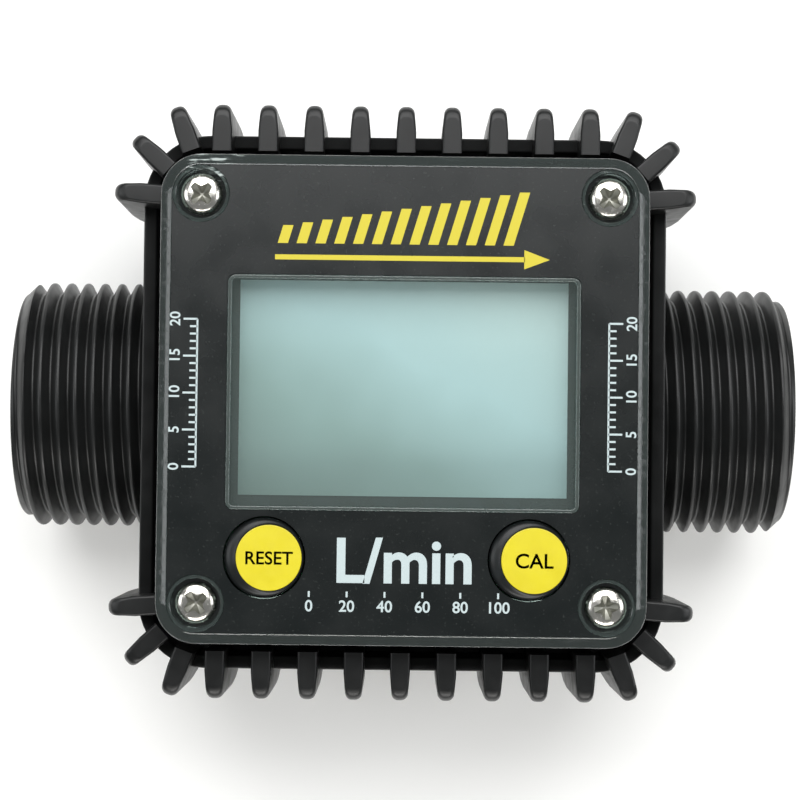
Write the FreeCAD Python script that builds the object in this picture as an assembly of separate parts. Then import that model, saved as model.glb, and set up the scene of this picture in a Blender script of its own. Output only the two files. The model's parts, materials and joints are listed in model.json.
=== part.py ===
"""Turbine flow meter: threaded pipe body with a finned display head, millimetres.

X runs along the pipe from inlet (-X) to outlet (+X), Y up the display face, Z out of the display.
The origin is the middle of the flat back. Each function builds one physical piece and main() writes
one STEP file per piece.
"""

import FreeCAD, Part

import math
import os

Vec = FreeCAD.Vector
X_AXIS = Vec(1, 0, 0)
Y_AXIS = Vec(0, 1, 0)
Z_AXIS = Vec(0, 0, 1)

# ---------------------------------------------------------------- pipe and its G1 threads
meter_length = 103.0
axis_height = 17.5
thread_major_d = 33.249
thread_pitch = 2.309
thread_depth = 1.479
thread_flank_angle = 27.5
thread_root_round = 0.37
thread_start_step = 19.0
thread_start_tries = 19
thread_cut_margin = 1.1
bore_d = 25.0
outlet_bore_d = 22.6
pipe_end_d = 30.0
pipe_end_chamfer = 1.8

# ---------------------------------------------------------------- moulded body and bowl
module_side_gap = 2.1
module_end_gap = 2.7
body_corner_r = 8.5
back_chamfer = 4.0
bore_roof = 2.0
bowl_depth = 8.5
rim_wall = 1.7
rim_round = 0.5
back_recess_width = 42.0
back_recess_height = 34.0
back_recess_corner_r = 4.0
back_recess_depth = 0.6

# ---------------------------------------------------------------- fins round the head
fin_pitch = 5.8
straight_fins = 9
fin_reach = 3.7
fin_draft = 0.2
fin_rise = 5.0
fin_root_width = 2.5
fin_tip_width = 2.05
fin_tip_round = 0.85
fin_nose_length = 1.7
fin_nose_drop = 2.6
fin_brow = 0.7
fin_brow_drop = 0.8
fin_straight_drop = 20.0
fin_tail_drop = 11.0
fin_embed = 6.0
# tips from the corner where the body's straight sides would meet
lean_fin_offset = (-4.2, 3.3)
lean_fin_angle = 20.0
corner_fin_offset = (1.1, -0.8)
corner_fin_angle = 48.0
side_fin_offset = (3.6, -7.8)
side_fin_angle = 86.0

# ---------------------------------------------------------------- display module, from the bowl floor up
module_end_room = 3.4
module_corner_r = 4.8
module_wall = 1.6
gasket_thickness = 0.8
gasket_width = 2.2
gasket_inset = 0.2
bay_roof = 0.9
component_gap = 1.4
board_thickness = 1.0
glass_lift = 0.3
glass_thickness = 1.8
bezel_depth = 1.3
cover_lap = 0.4
cover_corner_r = 5.0
cover_thickness = 3.0
cover_bevel_width = 1.35
cover_bevel_height = 1.1
label_thickness = 0.25
label_margin = 0.15
label_clearance = 0.05
part_gap = 0.2

# ---------------------------------------------------------------- cover screws
screw_inset = 5.0
screw_d = 3.0
screw_hole_d = 3.4
screw_head_d = 5.1
screw_head_height = 1.75
screw_head_round = 0.8
screw_angles = (45.0, 44.0, 38.0, 8.0)
counterbore_d = 6.1
counterbore_depth = 2.0
label_ring_d = 7.0
insert_d = 4.2
insert_length = 6.0
insert_clearance = 0.02
column_d = 6.4
recess_length = 2.9
recess_width = 0.85
recess_depth = 1.1

# ---------------------------------------------------------------- display window and glass
window_side_margin = 8.05
window_top_margin = 14.45
window_bottom_margin = 16.05
window_corner_r = 1.0
glass_side_lap = 1.45
glass_top_lap = 1.45
glass_bottom_lap = 0.45
polariser_side_margin = 1.25
polariser_top_margin = 0.35
polariser_bottom_margin = 1.75
polariser_thickness = 0.2
bezel_wall_x = 2.0
bezel_wall_y = 1.5
zebra_width = 1.6
zebra_inset = 4.0

# ---------------------------------------------------------------- push buttons
button_side_inset = 13.9
button_bottom_inset = 10.65
button_travel = 0.8
cap_d = 8.0
cap_thickness = 0.5
cap_seat = 0.2
boot_d = 9.7
boot_offset_x = -0.6
boot_hole_d = 10.1
boot_shoulder = 0.3
boot_rise = 0.5
boot_top_rim = 0.12
boot_lug_length = 12.0
boot_lug_width = 3.0
boot_lug_thickness = 0.4
boot_under_gap = 0.1
stem_d = 3.2
stem_length = 0.1
switch_size = 6.0
switch_height = 1.7
plunger_d = 2.4
plunger_clearance = 0.05
plunger_seat = 0.1

# ---------------------------------------------------------------- cells and their contacts
cell_d = 10.5
cell_length = 43.7
cell_nub_d = 3.8
cell_nub_length = 0.8
cell_round = 0.5
cell_y = 14.0
cell_clearance = 0.25
contact_size = 9.0
contact_thickness = 0.3
contact_tab_width = 2.0
spring_length = 4.0
spring_d = 6.4
spring_end_d = 3.6
spring_wire_d = 0.5
spring_turns = 3.0
spring_gap = 0.05

# ---------------------------------------------------------------- electronics
board_clearance = 0.4
board_ledge = 1.2
chip_size = 9.0
chip_height = 1.1
chip_centre = (0.0, 4.0)
crystal_size = (5.0, 3.2, 0.9)
crystal_centre = (9.5, 8.5)
capacitor_size = (3.2, 2.5, 1.2)
capacitor_centre = (-10.0, 8.5)
reed_d = 2.2
reed_length = 11.0
reed_lift = 2.2
reed_lead_d = 0.5
reed_lead_reach = 2.5
reed_hole_d = 0.9
sensor_bay_length = 48.0
sensor_bay_width = 14.0
edge_bay_length = 40.0
edge_bay_width = 6.4

# ---------------------------------------------------------------- turbine cartridge
carrier_length = 10.0
carrier_ring_wall = 1.2
carrier_fit = 0.05
carrier_vanes = 5
vane_thickness = 1.2
hub_d = 9.0
nose_length = 5.0
rotor_length = 10.0
rotor_hub_d = 8.6
rotor_tip_gap = 0.5
rotor_blades = 6
blade_thickness = 1.0
blade_twist = 46.0
blade_sections = 5
blade_root = 0.8
shaft_d = 2.0
shaft_clearance = 0.05
shaft_length = 18.4
bush_d = 4.4
bush_length = 3.4
bush_proud = 0.4
rotor_end_gap = 1.5
washer_d = 4.2
washer_end_gap = 0.3
magnet_d = 2.4
magnet_length = 2.0
magnet_inset = 0.15
magnet_clearance = 0.02
ring_groove_depth = 1.0
ring_thickness = 1.0
ring_width = 2.1
ring_gap_angle = 50.0
ring_side_clearance = 0.1
ring_edge_clearance = 0.2
ring_eye_d = 3.6
ring_eye_hole_d = 1.4

# ---------------------------------------------------------------- levels and radii that follow
floor_z = axis_height + bore_d / 2 + bore_roof
rim_z = floor_z + bowl_depth
fin_front_z = rim_z + fin_rise
module_z = floor_z + gasket_thickness
bay_top_z = module_z + cell_d + 2 * cell_clearance
web_z = bay_top_z + bay_roof
board_z = web_z + component_gap
board_top_z = board_z + board_thickness
glass_z = board_top_z + glass_lift
glass_top_z = glass_z + glass_thickness
module_top_z = glass_top_z + bezel_depth
cover_top_z = module_top_z + cover_thickness
counterbore_z = cover_top_z - counterbore_depth
cell_bay_length = cell_length + cell_nub_length + spring_length + 2 * (contact_thickness + spring_gap)
cell_bay_half = cell_bay_length / 2
module_size = cell_bay_length + 2 * (module_end_room + module_wall)
body_width = module_size + 2 * (module_side_gap + rim_wall)
body_height = module_size + 2 * (module_end_gap + rim_wall)
cover_size = module_size + 2 * cover_lap
screw_half = cover_size / 2 - screw_inset
button_x = cover_size / 2 - button_side_inset
button_y = button_bottom_inset - cover_size / 2
window_width = module_size - 2 * window_side_margin
window_height = module_size - window_top_margin - window_bottom_margin
window_centre_y = (window_bottom_margin - window_top_margin) / 2
pipe_half = meter_length / 2
major_r = thread_major_d / 2
minor_r = major_r - thread_depth
bore_r = bore_d / 2
module_inner = module_size - 2 * module_wall
board_size = module_inner - 2 * board_clearance
carrier_r = bore_r - carrier_fit
rotor_space = rotor_length + 2 * rotor_end_gap
shoulder_x = rotor_space / 2 + carrier_length
glass_width = window_width + 2 * glass_side_lap
glass_height = window_height + glass_top_lap + glass_bottom_lap
glass_centre_y = window_centre_y + (glass_top_lap - glass_bottom_lap) / 2
polariser_width = window_width - 2 * polariser_side_margin
polariser_height = window_height - polariser_top_margin - polariser_bottom_margin
polariser_centre_y = window_centre_y + (polariser_bottom_margin - polariser_top_margin) / 2
boot_top_z = cover_top_z + boot_rise
stem_z = module_top_z - boot_under_gap - boot_lug_thickness - stem_length


# ---------------------------------------------------------------- shared shapes
def rounded_face(width, height, radius, z, centre_x=0.0, centre_y=0.0):
    """Return a flat rectangle with round corners at height z."""
    right = centre_x + width / 2
    top = centre_y + height / 2
    left = centre_x - width / 2
    bottom = centre_y - height / 2
    bend = radius * (1 - math.sqrt(0.5))
    corners = [
        [(right - radius, bottom), (right - bend, bottom + bend), (right, bottom + radius)],
        [(right, top - radius), (right - bend, top - bend), (right - radius, top)],
        [(left + radius, top), (left + bend, top - bend), (left, top - radius)],
        [(left, bottom + radius), (left + bend, bottom + bend), (left + radius, bottom)],
    ]
    arcs = [[Vec(x, y, z) for x, y in corner] for corner in corners]
    edges = []
    for arc, following in zip(arcs, arcs[1:] + arcs[:1]):
        edges.append(Part.Arc(*arc).toShape())
        edges.append(Part.LineSegment(arc[-1], following[0]).toShape())
    return Part.Face(Part.Wire(edges))


def rounded_block(width, height, radius, z_low, z_high, centre_x=0.0, centre_y=0.0):
    """Return a block with round upright edges."""
    face = rounded_face(width, height, radius, z_low, centre_x, centre_y)
    return face.extrude(Vec(0, 0, z_high - z_low))


def plain_block(width, height, z_low, z_high, centre_x=0.0, centre_y=0.0):
    """Return a square-edged block centred on a point of the plan."""
    corner = Vec(centre_x - width / 2, centre_y - height / 2, z_low)
    return Part.makeBox(width, height, z_high - z_low, corner)


def upright(diameter, z_low, z_high, x=0.0, y=0.0):
    """Return an upright cylinder."""
    return Part.makeCylinder(diameter / 2, z_high - z_low, Vec(x, y, z_low), Z_AXIS)


def along_pipe(radius, x_low, x_high):
    """Return a cylinder on the pipe's axis."""
    return Part.makeCylinder(radius, x_high - x_low, Vec(x_low, 0, axis_height), X_AXIS)


def fuse_all(shapes):
    """Return the union of a list of solids."""
    return shapes[0].multiFuse(shapes[1:]) if len(shapes) > 1 else shapes[0]


def screw_places():
    """Yield each cover screw's place with its cross recess angle."""
    corners = ((-1, 1), (1, 1), (-1, -1), (1, -1))
    for (side, level), angle in zip(corners, screw_angles):
        yield side * screw_half, level * screw_half, angle


def button_places():
    """Yield each button's name and cap centre."""
    yield "reset", -button_x
    yield "cal", button_x


def end_edges(shape, z):
    """Return the edges that lie wholly at height z."""
    level = [edge for edge in shape.Edges if abs(edge.BoundBox.ZMin - z) < 1e-6]
    return [edge for edge in level if abs(edge.BoundBox.ZMax - z) < 1e-6]


# ---------------------------------------------------------------- moulded body
def thread_groove(length):
    """Return the helical groove of a 55 degree pipe thread, rising along Z from the origin."""
    slope = math.tan(math.radians(thread_flank_angle))
    root_half = slope * thread_root_round
    margin = thread_root_round / 2
    outer_r = major_r + margin
    mouth_half = slope * (thread_root_round + thread_depth + margin)
    points = [
        Vec(minor_r, 0, -root_half),
        Vec(minor_r, 0, root_half),
        Vec(outer_r, 0, mouth_half),
        Vec(outer_r, 0, -mouth_half),
    ]
    profile = Part.makePolygon(points + points[:1])
    helix = Part.makeHelix(thread_pitch, length, minor_r)
    groove = Part.Wire(helix).makePipeShell([profile], True, True)
    return Part.Solid(groove) if groove.ShapeType == "Shell" else groove


def groove_volume(length):
    """Return about how much a thread groove takes out of a straight length of pipe."""
    slope = math.tan(math.radians(thread_flank_angle))
    mean_width = slope * (2 * thread_root_round + thread_depth)
    mean_r = (major_r + minor_r) / 2
    return mean_width * thread_depth * 2 * math.pi * mean_r * length / thread_pitch


def threaded_end():
    """Return one solid pipe end, from the housing's side out to the chamfered mouth on the +X side.

    A thread may start at any angle round the pipe, so the first start that cuts a whole groove is kept.
    """
    start_x = body_width / 2
    straight = pipe_half - pipe_end_chamfer - start_x
    plain = Part.makeCylinder(major_r, straight)
    mouth = Part.makeCone(major_r, pipe_end_d / 2, pipe_end_chamfer, Vec(0, 0, straight))
    stub = plain.fuse(mouth)
    groove = thread_groove(pipe_half - start_x + 2 * thread_pitch)
    groove.translate(Vec(0, 0, -thread_pitch))
    wanted = groove_volume(straight)
    threaded = stub
    for _ in range(thread_start_tries):
        groove.rotate(Vec(0, 0, 0), Z_AXIS, thread_start_step)
        threaded = stub.cut(groove)
        removed = stub.Volume - threaded.Volume
        if wanted < removed < wanted * thread_cut_margin and threaded.isValid():
            break
    threaded.rotate(Vec(0, 0, 0), Y_AXIS, 90)
    threaded.translate(Vec(start_x, 0, axis_height))
    return threaded


def other_end(shape):
    """Return a copy of a +X end piece turned round to the -X end."""
    copy = shape.copy()
    copy.rotate(Vec(0, 0, 0), Z_AXIS, 180)
    return copy


def fin_shape():
    """Return one fin that reaches along +Y from its root at the origin."""
    tip = fin_reach - fin_draft
    crease = tip - fin_nose_length
    straight_z = fin_front_z - fin_straight_drop
    tail_z = straight_z - fin_tail_drop
    lean = math.sqrt(0.5)
    front = Vec(0, -fin_embed, fin_front_z)
    crease_end = Vec(0, crease, fin_front_z)
    brow = Vec(0, crease + fin_nose_length * fin_brow, fin_front_z - fin_brow_drop)
    nose = Vec(0, tip, fin_front_z - fin_nose_drop)
    foot = Vec(0, fin_reach, straight_z)
    tail_middle = Vec(0, fin_reach * lean, straight_z - fin_tail_drop * lean)
    tail = Vec(0, 0, tail_z)
    back = Vec(0, -fin_embed, tail_z)
    outline = [
        Part.LineSegment(front, crease_end),
        Part.LineSegment(crease_end, brow),
        Part.LineSegment(brow, nose),
        Part.LineSegment(nose, foot),
        Part.Arc(foot, tail_middle, tail),
        Part.LineSegment(tail, back),
        Part.LineSegment(back, front),
    ]
    side = Part.Face(Part.Wire([line.toShape() for line in outline]))
    side.translate(Vec(-fin_root_width, 0, 0))
    slab = side.extrude(Vec(2 * fin_root_width, 0, 0))
    root_half = fin_root_width / 2
    tip_half = fin_tip_width / 2
    shoulder = fin_reach - fin_tip_round
    left_points = [
        Vec(-tip_half, shoulder, tail_z),
        Vec(-root_half, 0, tail_z),
        Vec(-root_half, -fin_embed, tail_z),
    ]
    right_points = [Vec(-point.x, point.y, point.z) for point in reversed(left_points)]
    sides = Part.makePolygon(left_points + right_points)
    tip_arc = Part.Arc(right_points[-1], Vec(0, fin_reach, tail_z), left_points[0])
    plan = Part.Face(Part.Wire(sides.Edges + [tip_arc.toShape()]))
    wedge = plan.extrude(Vec(0, 0, fin_front_z - tail_z))
    return slab.common(wedge).Solids[0]


def fin_places():
    """Yield each fin's tip in plan and the angle of its reach, clockwise from +Y."""
    half = body_height / 2 + fin_reach
    for index in range(straight_fins):
        x = (index - (straight_fins - 1) / 2) * fin_pitch
        yield x, half, 0.0
        yield x, -half, 180.0
    for (along, up), angle in (
        (lean_fin_offset, lean_fin_angle),
        (corner_fin_offset, corner_fin_angle),
        (side_fin_offset, side_fin_angle),
    ):
        x = body_width / 2 + along
        y = body_height / 2 + up
        yield x, y, angle
        yield -x, y, -angle
        yield x, -y, 180.0 - angle
        yield -x, -y, 180.0 + angle


def fins():
    """Return every fin in its place."""
    pattern = fin_shape()
    placed = []
    for x, y, angle in fin_places():
        lean = math.radians(angle)
        fin = pattern.copy()
        fin.rotate(Vec(0, 0, 0), Z_AXIS, -angle)
        fin.translate(Vec(x - fin_reach * math.sin(lean), y - fin_reach * math.cos(lean), 0))
        placed.append(fin)
    return placed


def outlet_end():
    """Return the outlet's threaded pipe end, narrower inside than the chamber."""
    return threaded_end().cut(along_pipe(outlet_bore_d / 2, shoulder_x, pipe_half))


def inlet_end():
    """Return the inlet's threaded pipe end, as wide inside as the chamber."""
    return other_end(threaded_end()).cut(along_pipe(bore_r, -pipe_half, shoulder_x))


def meter_body():
    """Return the housing that the pipe ends are moulded to: turbine chamber, bowl, rim and fins."""
    block = rounded_block(body_width, body_height, body_corner_r, 0, rim_z)
    block = block.makeChamfer(back_chamfer, end_edges(block, 0))
    block = block.makeFillet(rim_round, end_edges(block, rim_z))
    bowl_width = body_width - 2 * rim_wall
    bowl_height = body_height - 2 * rim_wall
    bowl_r = body_corner_r - rim_wall
    bowl = rounded_block(bowl_width, bowl_height, bowl_r, floor_z, fin_front_z + fin_rise)
    side = body_width / 2
    bosses = [along_pipe(major_r, side - back_chamfer, side), along_pipe(major_r, -side, back_chamfer - side)]
    body = block.multiFuse(fins() + bosses).cut(bowl)
    cuts = [
        along_pipe(bore_r, -pipe_half, shoulder_x),
        along_pipe(outlet_bore_d / 2, shoulder_x, pipe_half),
        along_pipe(bore_r + ring_groove_depth, *ring_groove_span()),
        rounded_block(back_recess_width, back_recess_height, back_recess_corner_r, 0, back_recess_depth),
    ]
    for x, y, _ in screw_places():
        cuts.append(upright(insert_d + 2 * insert_clearance, floor_z - insert_length, floor_z, x, y))
    for tool in cuts:
        body = body.cut(tool)
    return body


def ring_groove_span():
    """Return the X limits of the retaining ring's groove."""
    return -shoulder_x - ring_thickness - ring_side_clearance, -shoulder_x


# ---------------------------------------------------------------- screws and inserts
def cover_inserts():
    """Return the four threaded brass inserts in the bowl's floor."""
    inserts = []
    for x, y, _ in screw_places():
        sleeve = upright(insert_d, floor_z - insert_length, floor_z, x, y)
        bore = upright(screw_d + 2 * insert_clearance, floor_z - insert_length, floor_z, x, y)
        inserts.append(sleeve.cut(bore))
    return Part.makeCompound(inserts)


def cover_screws():
    """Return the four pan-head cover screws with cross recesses."""
    screws = []
    head_top = counterbore_z + screw_head_height
    for x, y, angle in screw_places():
        head = upright(screw_head_d, counterbore_z, head_top, x, y)
        head = head.makeFillet(screw_head_round, end_edges(head, head_top))
        shank = upright(screw_d, floor_z - insert_length, counterbore_z, x, y)
        screw = head.fuse(shank)
        for turn in (0.0, 90.0):
            low_z = head_top - recess_depth
            slot = plain_block(recess_length, recess_width, low_z, head_top, x, y)
            slot.rotate(Vec(x, y, 0), Z_AXIS, angle + turn)
            screw = screw.cut(slot)
        screws.append(screw)
    return Part.makeCompound(screws)


# ---------------------------------------------------------------- display module
def module_gasket():
    """Return the flat rubber ring between the module and the bowl's floor."""
    outer = module_size - 2 * gasket_inset
    inner = outer - 2 * gasket_width
    corner = module_corner_r - gasket_inset
    ring = rounded_block(outer, outer, corner, floor_z, module_z)
    return ring.cut(rounded_block(inner, inner, corner - gasket_width, floor_z, module_z))


def cell_sides():
    """Yield each cell's name, its Y place and the end its nub points to."""
    yield "upper", cell_y, 1
    yield "lower", -cell_y, -1


def contact_places():
    """Yield the middle X and the Y of each contact plate."""
    end_x = cell_bay_half - contact_thickness / 2
    for _, y, _ in cell_sides():
        yield end_x, y
        yield -end_x, y


def module_case():
    """Return the black tray that holds the cells from behind and the board and glass from the front."""
    case = rounded_block(module_size, module_size, module_corner_r, module_z, module_top_z)
    columns = [upright(column_d, web_z, module_top_z, x, y) for x, y, _ in screw_places()]
    inner_r = module_corner_r - module_wall
    front = rounded_block(module_inner, module_inner, inner_r, board_z, module_top_z)
    ledge_inner = board_size - 2 * board_ledge
    under_board = plain_block(ledge_inner, ledge_inner, web_z, board_z)
    case = case.cut(front.fuse(under_board).cut(columns))
    bay_width = cell_d + 2 * cell_clearance
    bays = [plain_block(sensor_bay_length, sensor_bay_width, module_z, bay_top_z)]
    for _, y, _ in cell_sides():
        bays.append(plain_block(cell_bay_length, bay_width, module_z, bay_top_z, 0, y))
    edge_y = module_inner / 2 - edge_bay_width / 2
    for y in (edge_y, -edge_y):
        bays.append(plain_block(edge_bay_length, edge_bay_width, module_z, bay_top_z, 0, y))
    tab = contact_tab_width + 2 * part_gap
    for x, y in contact_places():
        bays.append(plain_block(contact_thickness + 2 * part_gap, tab, bay_top_z, web_z, x, y))
    for x in reed_lead_places():
        bays.append(upright(reed_hole_d, bay_top_z, web_z, x, 0))
    for x, y, _ in screw_places():
        bays.append(upright(screw_hole_d, module_z, module_top_z, x, y))
    return case.cut(bays)


def cell(y, direction):
    """Return one AAA cell lying along X with its nub towards the given end."""
    z = module_z + cell_clearance + cell_d / 2
    nub_end = direction * (cell_bay_half - contact_thickness)
    body_end = nub_end - direction * cell_nub_length
    start = body_end - direction * cell_length
    along = Vec(direction, 0, 0)
    body = Part.makeCylinder(cell_d / 2, cell_length, Vec(start, y, z), along)
    body = body.makeFillet(cell_round, [edge for edge in body.Edges if edge.BoundBox.XLength < 1e-6])
    nub = Part.makeCylinder(cell_nub_d / 2, cell_nub_length, Vec(body_end, y, z), along)
    return body.fuse(nub)


def cell_springs():
    """Return the two tapered contact springs at the cells' flat ends."""
    z = module_z + cell_clearance + cell_d / 2
    height = spring_length - spring_wire_d
    taper = math.degrees(math.atan2((spring_d - spring_end_d) / 2, height))
    helix = Part.makeHelix(height / spring_turns, height, spring_d / 2, -taper)
    circle = Part.Circle(Vec(spring_d / 2, 0, 0), Y_AXIS, spring_wire_d / 2)
    profile = Part.Wire(circle.toShape())
    coil = Part.Wire(helix).makePipeShell([profile], True, True)
    coil.rotate(Vec(0, 0, 0), Y_AXIS, 90)
    seat = cell_bay_half - contact_thickness - spring_gap - spring_wire_d / 2
    coil.translate(Vec(-seat, cell_y, z))
    return Part.makeCompound([coil, other_end(coil)])


def cell_contacts():
    """Return the four contact plates, each with a tab up to the board."""
    plates = []
    middle_z = module_z + cell_clearance + cell_d / 2
    for x, y in contact_places():
        plate = plain_block(
            contact_thickness,
            contact_size,
            middle_z - contact_size / 2,
            middle_z + contact_size / 2,
            x,
            y,
        )
        tab = plain_block(contact_thickness, contact_tab_width, middle_z, board_z, x, y)
        plates.append(plate.fuse(tab).removeSplitter())
    return Part.makeCompound(plates)


def circuit_board():
    """Return the square board with a round notch at each screw column."""
    board = rounded_block(board_size, board_size, module_corner_r - module_wall, board_z, board_top_z)
    notch = column_d + 2 * part_gap
    return board.cut([upright(notch, board_z, board_top_z, x, y) for x, y, _ in screw_places()])


def board_part(size, centre):
    """Return a flat component under the board."""
    width, height, depth = size
    return plain_block(width, height, board_z - depth, board_z, *centre)


def reed_lead_places():
    """Yield the X of each reed switch lead."""
    for side in (-1, 1):
        yield side * (reed_length / 2 + reed_lead_reach)


def reed_switch():
    """Return the glass reed switch over the rotor, with both leads bent up to the board."""
    z = module_z + reed_lift
    shapes = [Part.makeCylinder(reed_d / 2, reed_length, Vec(-reed_length / 2, 0, z), X_AXIS)]
    for x in reed_lead_places():
        shapes.append(upright(reed_lead_d, z, board_z, x, 0))
        shapes.append(Part.makeSphere(reed_lead_d / 2, Vec(x, 0, z)))
        side = math.copysign(1, x)
        shapes.append(Part.makeCylinder(reed_lead_d / 2, abs(x), Vec(0, 0, z), Vec(side, 0, 0)))
    return fuse_all(shapes)


def lcd_glass():
    """Return the liquid crystal glass."""
    return plain_block(glass_width, glass_height, glass_z, glass_top_z, 0, glass_centre_y)


def lcd_polariser():
    """Return the film on the glass that shows through the window."""
    top = glass_top_z + polariser_thickness
    return plain_block(polariser_width, polariser_height, glass_top_z, top, 0, polariser_centre_y)


def zebra_strips():
    """Return the two conductive rubber strips between the board and the glass."""
    reach = glass_height / 2 - zebra_width
    length = glass_width - 2 * zebra_inset
    strips = []
    for y in (glass_centre_y + reach, glass_centre_y - reach):
        strips.append(plain_block(length, zebra_width, board_top_z, glass_z, 0, y))
    return Part.makeCompound(strips)


def window_block(z_low, z_high, grow):
    """Return the display window's outline as a block, grown on every edge."""
    width = window_width + 2 * grow
    height = window_height + 2 * grow
    return rounded_block(width, height, window_corner_r, z_low, z_high, 0, window_centre_y)


def lcd_bezel():
    """Return the black frame that holds the glass down and edges the window."""
    inner_x = glass_width + 2 * part_gap
    inner_y = glass_height + 2 * part_gap
    outer_x = inner_x + 2 * bezel_wall_x
    outer_y = inner_y + 2 * bezel_wall_y
    round_r = window_corner_r
    frame = rounded_block(outer_x, outer_y, round_r, board_top_z, module_top_z, 0, glass_centre_y)
    cuts = [
        plain_block(inner_x, inner_y, board_top_z, glass_top_z, 0, glass_centre_y),
        window_block(glass_top_z, module_top_z, 0),
    ]
    clear_d = boot_hole_d + part_gap
    for _, x in button_places():
        cuts.append(upright(clear_d, board_top_z, module_top_z, x + boot_offset_x, button_y))
    return frame.cut(cuts)


def label_size():
    """Return the label's side length."""
    return cover_size - 2 * (cover_bevel_width + label_margin)


def label_block(z_low, z_high, grow):
    """Return the label's outline as a block, grown on every edge."""
    side = label_size() + 2 * grow
    corner = cover_corner_r - cover_bevel_width - label_margin + grow
    return rounded_block(side, side, corner, z_low, z_high)


def front_cover():
    """Return the clear bevelled cover with its screw counterbores, button holes and label recess."""
    bevel_z = cover_top_z - cover_bevel_height
    plate = rounded_block(cover_size, cover_size, cover_corner_r, module_top_z, bevel_z)
    top_size = cover_size - 2 * cover_bevel_width
    low = rounded_face(cover_size, cover_size, cover_corner_r, bevel_z).OuterWire
    high = rounded_face(top_size, top_size, cover_corner_r - cover_bevel_width, cover_top_z).OuterWire
    bevel = Part.makeLoft([low, high], True, True)
    cover = plate.fuse(bevel).removeSplitter()
    recess_z = cover_top_z - label_thickness
    recess = label_block(recess_z, cover_top_z, label_clearance)
    rings = [upright(label_ring_d, recess_z, cover_top_z, x, y) for x, y, _ in screw_places()]
    cuts = [recess.cut(rings + [window_block(recess_z, cover_top_z, 0)])]
    for x, y, _ in screw_places():
        cuts.append(upright(screw_hole_d, module_top_z, cover_top_z, x, y))
        cuts.append(upright(counterbore_d, counterbore_z, cover_top_z, x, y))
    for _, x in button_places():
        cuts.append(upright(boot_hole_d, module_top_z, cover_top_z, x + boot_offset_x, button_y))
    return cover.cut(cuts)


def face_label():
    """Return the printed film in the cover's recess."""
    recess_z = cover_top_z - label_thickness
    cuts = [window_block(recess_z, cover_top_z, label_clearance)]
    for x, y, _ in screw_places():
        cuts.append(upright(label_ring_d + 2 * label_clearance, recess_z, cover_top_z, x, y))
    for _, x in button_places():
        cuts.append(upright(boot_hole_d, recess_z, cover_top_z, x + boot_offset_x, button_y))
    return label_block(recess_z, cover_top_z, 0).cut(cuts)


# ---------------------------------------------------------------- push buttons
def button_boot(x):
    """Return the black rubber boot: stem, keeper lugs, barrel and the sloping collar under the cap."""
    boot_x = x + boot_offset_x
    lug_z = stem_z + stem_length
    shoulder_z = cover_top_z - boot_shoulder
    top_r = cap_d / 2 + boot_top_rim
    barrel = upright(boot_d, lug_z, shoulder_z, boot_x, button_y)
    lug_top_z = lug_z + boot_lug_thickness
    lugs = plain_block(boot_lug_length, boot_lug_width, lug_z, lug_top_z, boot_x, button_y)
    stem = upright(stem_d, stem_z, lug_z, x, button_y)
    low = Part.Wire(Part.Circle(Vec(boot_x, button_y, shoulder_z), Z_AXIS, boot_d / 2).toShape())
    high = Part.Wire(Part.Circle(Vec(x, button_y, boot_top_z), Z_AXIS, top_r).toShape())
    collar = Part.makeLoft([low, high], True, True)
    seat = upright(cap_d, boot_top_z - cap_seat, boot_top_z, x, button_y)
    return fuse_all([barrel, lugs, stem, collar]).cut(seat)


def button_cap(x):
    """Return the yellow disc on top of the boot."""
    seat_z = boot_top_z - cap_seat
    return upright(cap_d, seat_z, seat_z + cap_thickness, x, button_y)


def switch_plunger(x):
    """Return the switch's plunger, which stays against the boot's stem."""
    bottom = board_top_z + plunger_seat + button_travel
    return upright(plunger_d, bottom, stem_z, x, button_y)


def switch_body(x):
    """Return the push switch's body on the board, with the well its plunger runs in."""
    top_z = board_top_z + switch_height
    well_d = plunger_d + 2 * plunger_clearance
    body = plain_block(switch_size, switch_size, board_top_z, top_z, x, button_y)
    return body.cut(upright(well_d, board_top_z + plunger_seat / 2, top_z, x, button_y))


# ---------------------------------------------------------------- turbine
def spun_about_pipe(shape, angle):
    """Return a copy of a shape turned about the pipe's axis."""
    copy = shape.copy()
    copy.rotate(Vec(0, 0, axis_height), X_AXIS, angle)
    return copy


def flow_straightener():
    """Return the outlet carrier: ring, vanes, hub with its nose, and the bush's pocket."""
    start_x = rotor_space / 2
    ring = along_pipe(carrier_r, start_x, shoulder_x)
    inner_r = carrier_r - carrier_ring_wall
    ring = ring.cut(along_pipe(inner_r, start_x, shoulder_x))
    hub_r = hub_d / 2
    hub = along_pipe(hub_r, start_x, shoulder_x)
    nose = Part.makeCone(hub_r, hub_r / 3, nose_length, Vec(shoulder_x, 0, axis_height), X_AXIS)
    vane_reach = inner_r + carrier_ring_wall / 2
    vane = Part.makeBox(
        carrier_length,
        vane_thickness,
        vane_reach,
        Vec(start_x, -vane_thickness / 2, axis_height),
    )
    vanes = [spun_about_pipe(vane, index * 360 / carrier_vanes) for index in range(carrier_vanes)]
    carrier = fuse_all([ring, hub, nose] + vanes)
    pocket = along_pipe(bush_d / 2, start_x, start_x + bush_length - bush_proud)
    clearance = along_pipe(shaft_d / 2 + carrier_fit * 2, start_x, shaft_length / 2 + part_gap)
    return carrier.cut([pocket, clearance]).removeSplitter()


def bearing_bush():
    """Return the outlet bush that the shaft turns in."""
    face_x = rotor_space / 2 - bush_proud
    bush = along_pipe(bush_d / 2, face_x, face_x + bush_length)
    return bush.cut(along_pipe(shaft_d / 2 + shaft_clearance, face_x, face_x + bush_length))


def inlet_side(shape):
    """Return the mirror image of an outlet piece about the rotor's middle."""
    return shape.mirror(Vec(0, 0, 0), X_AXIS)


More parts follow.
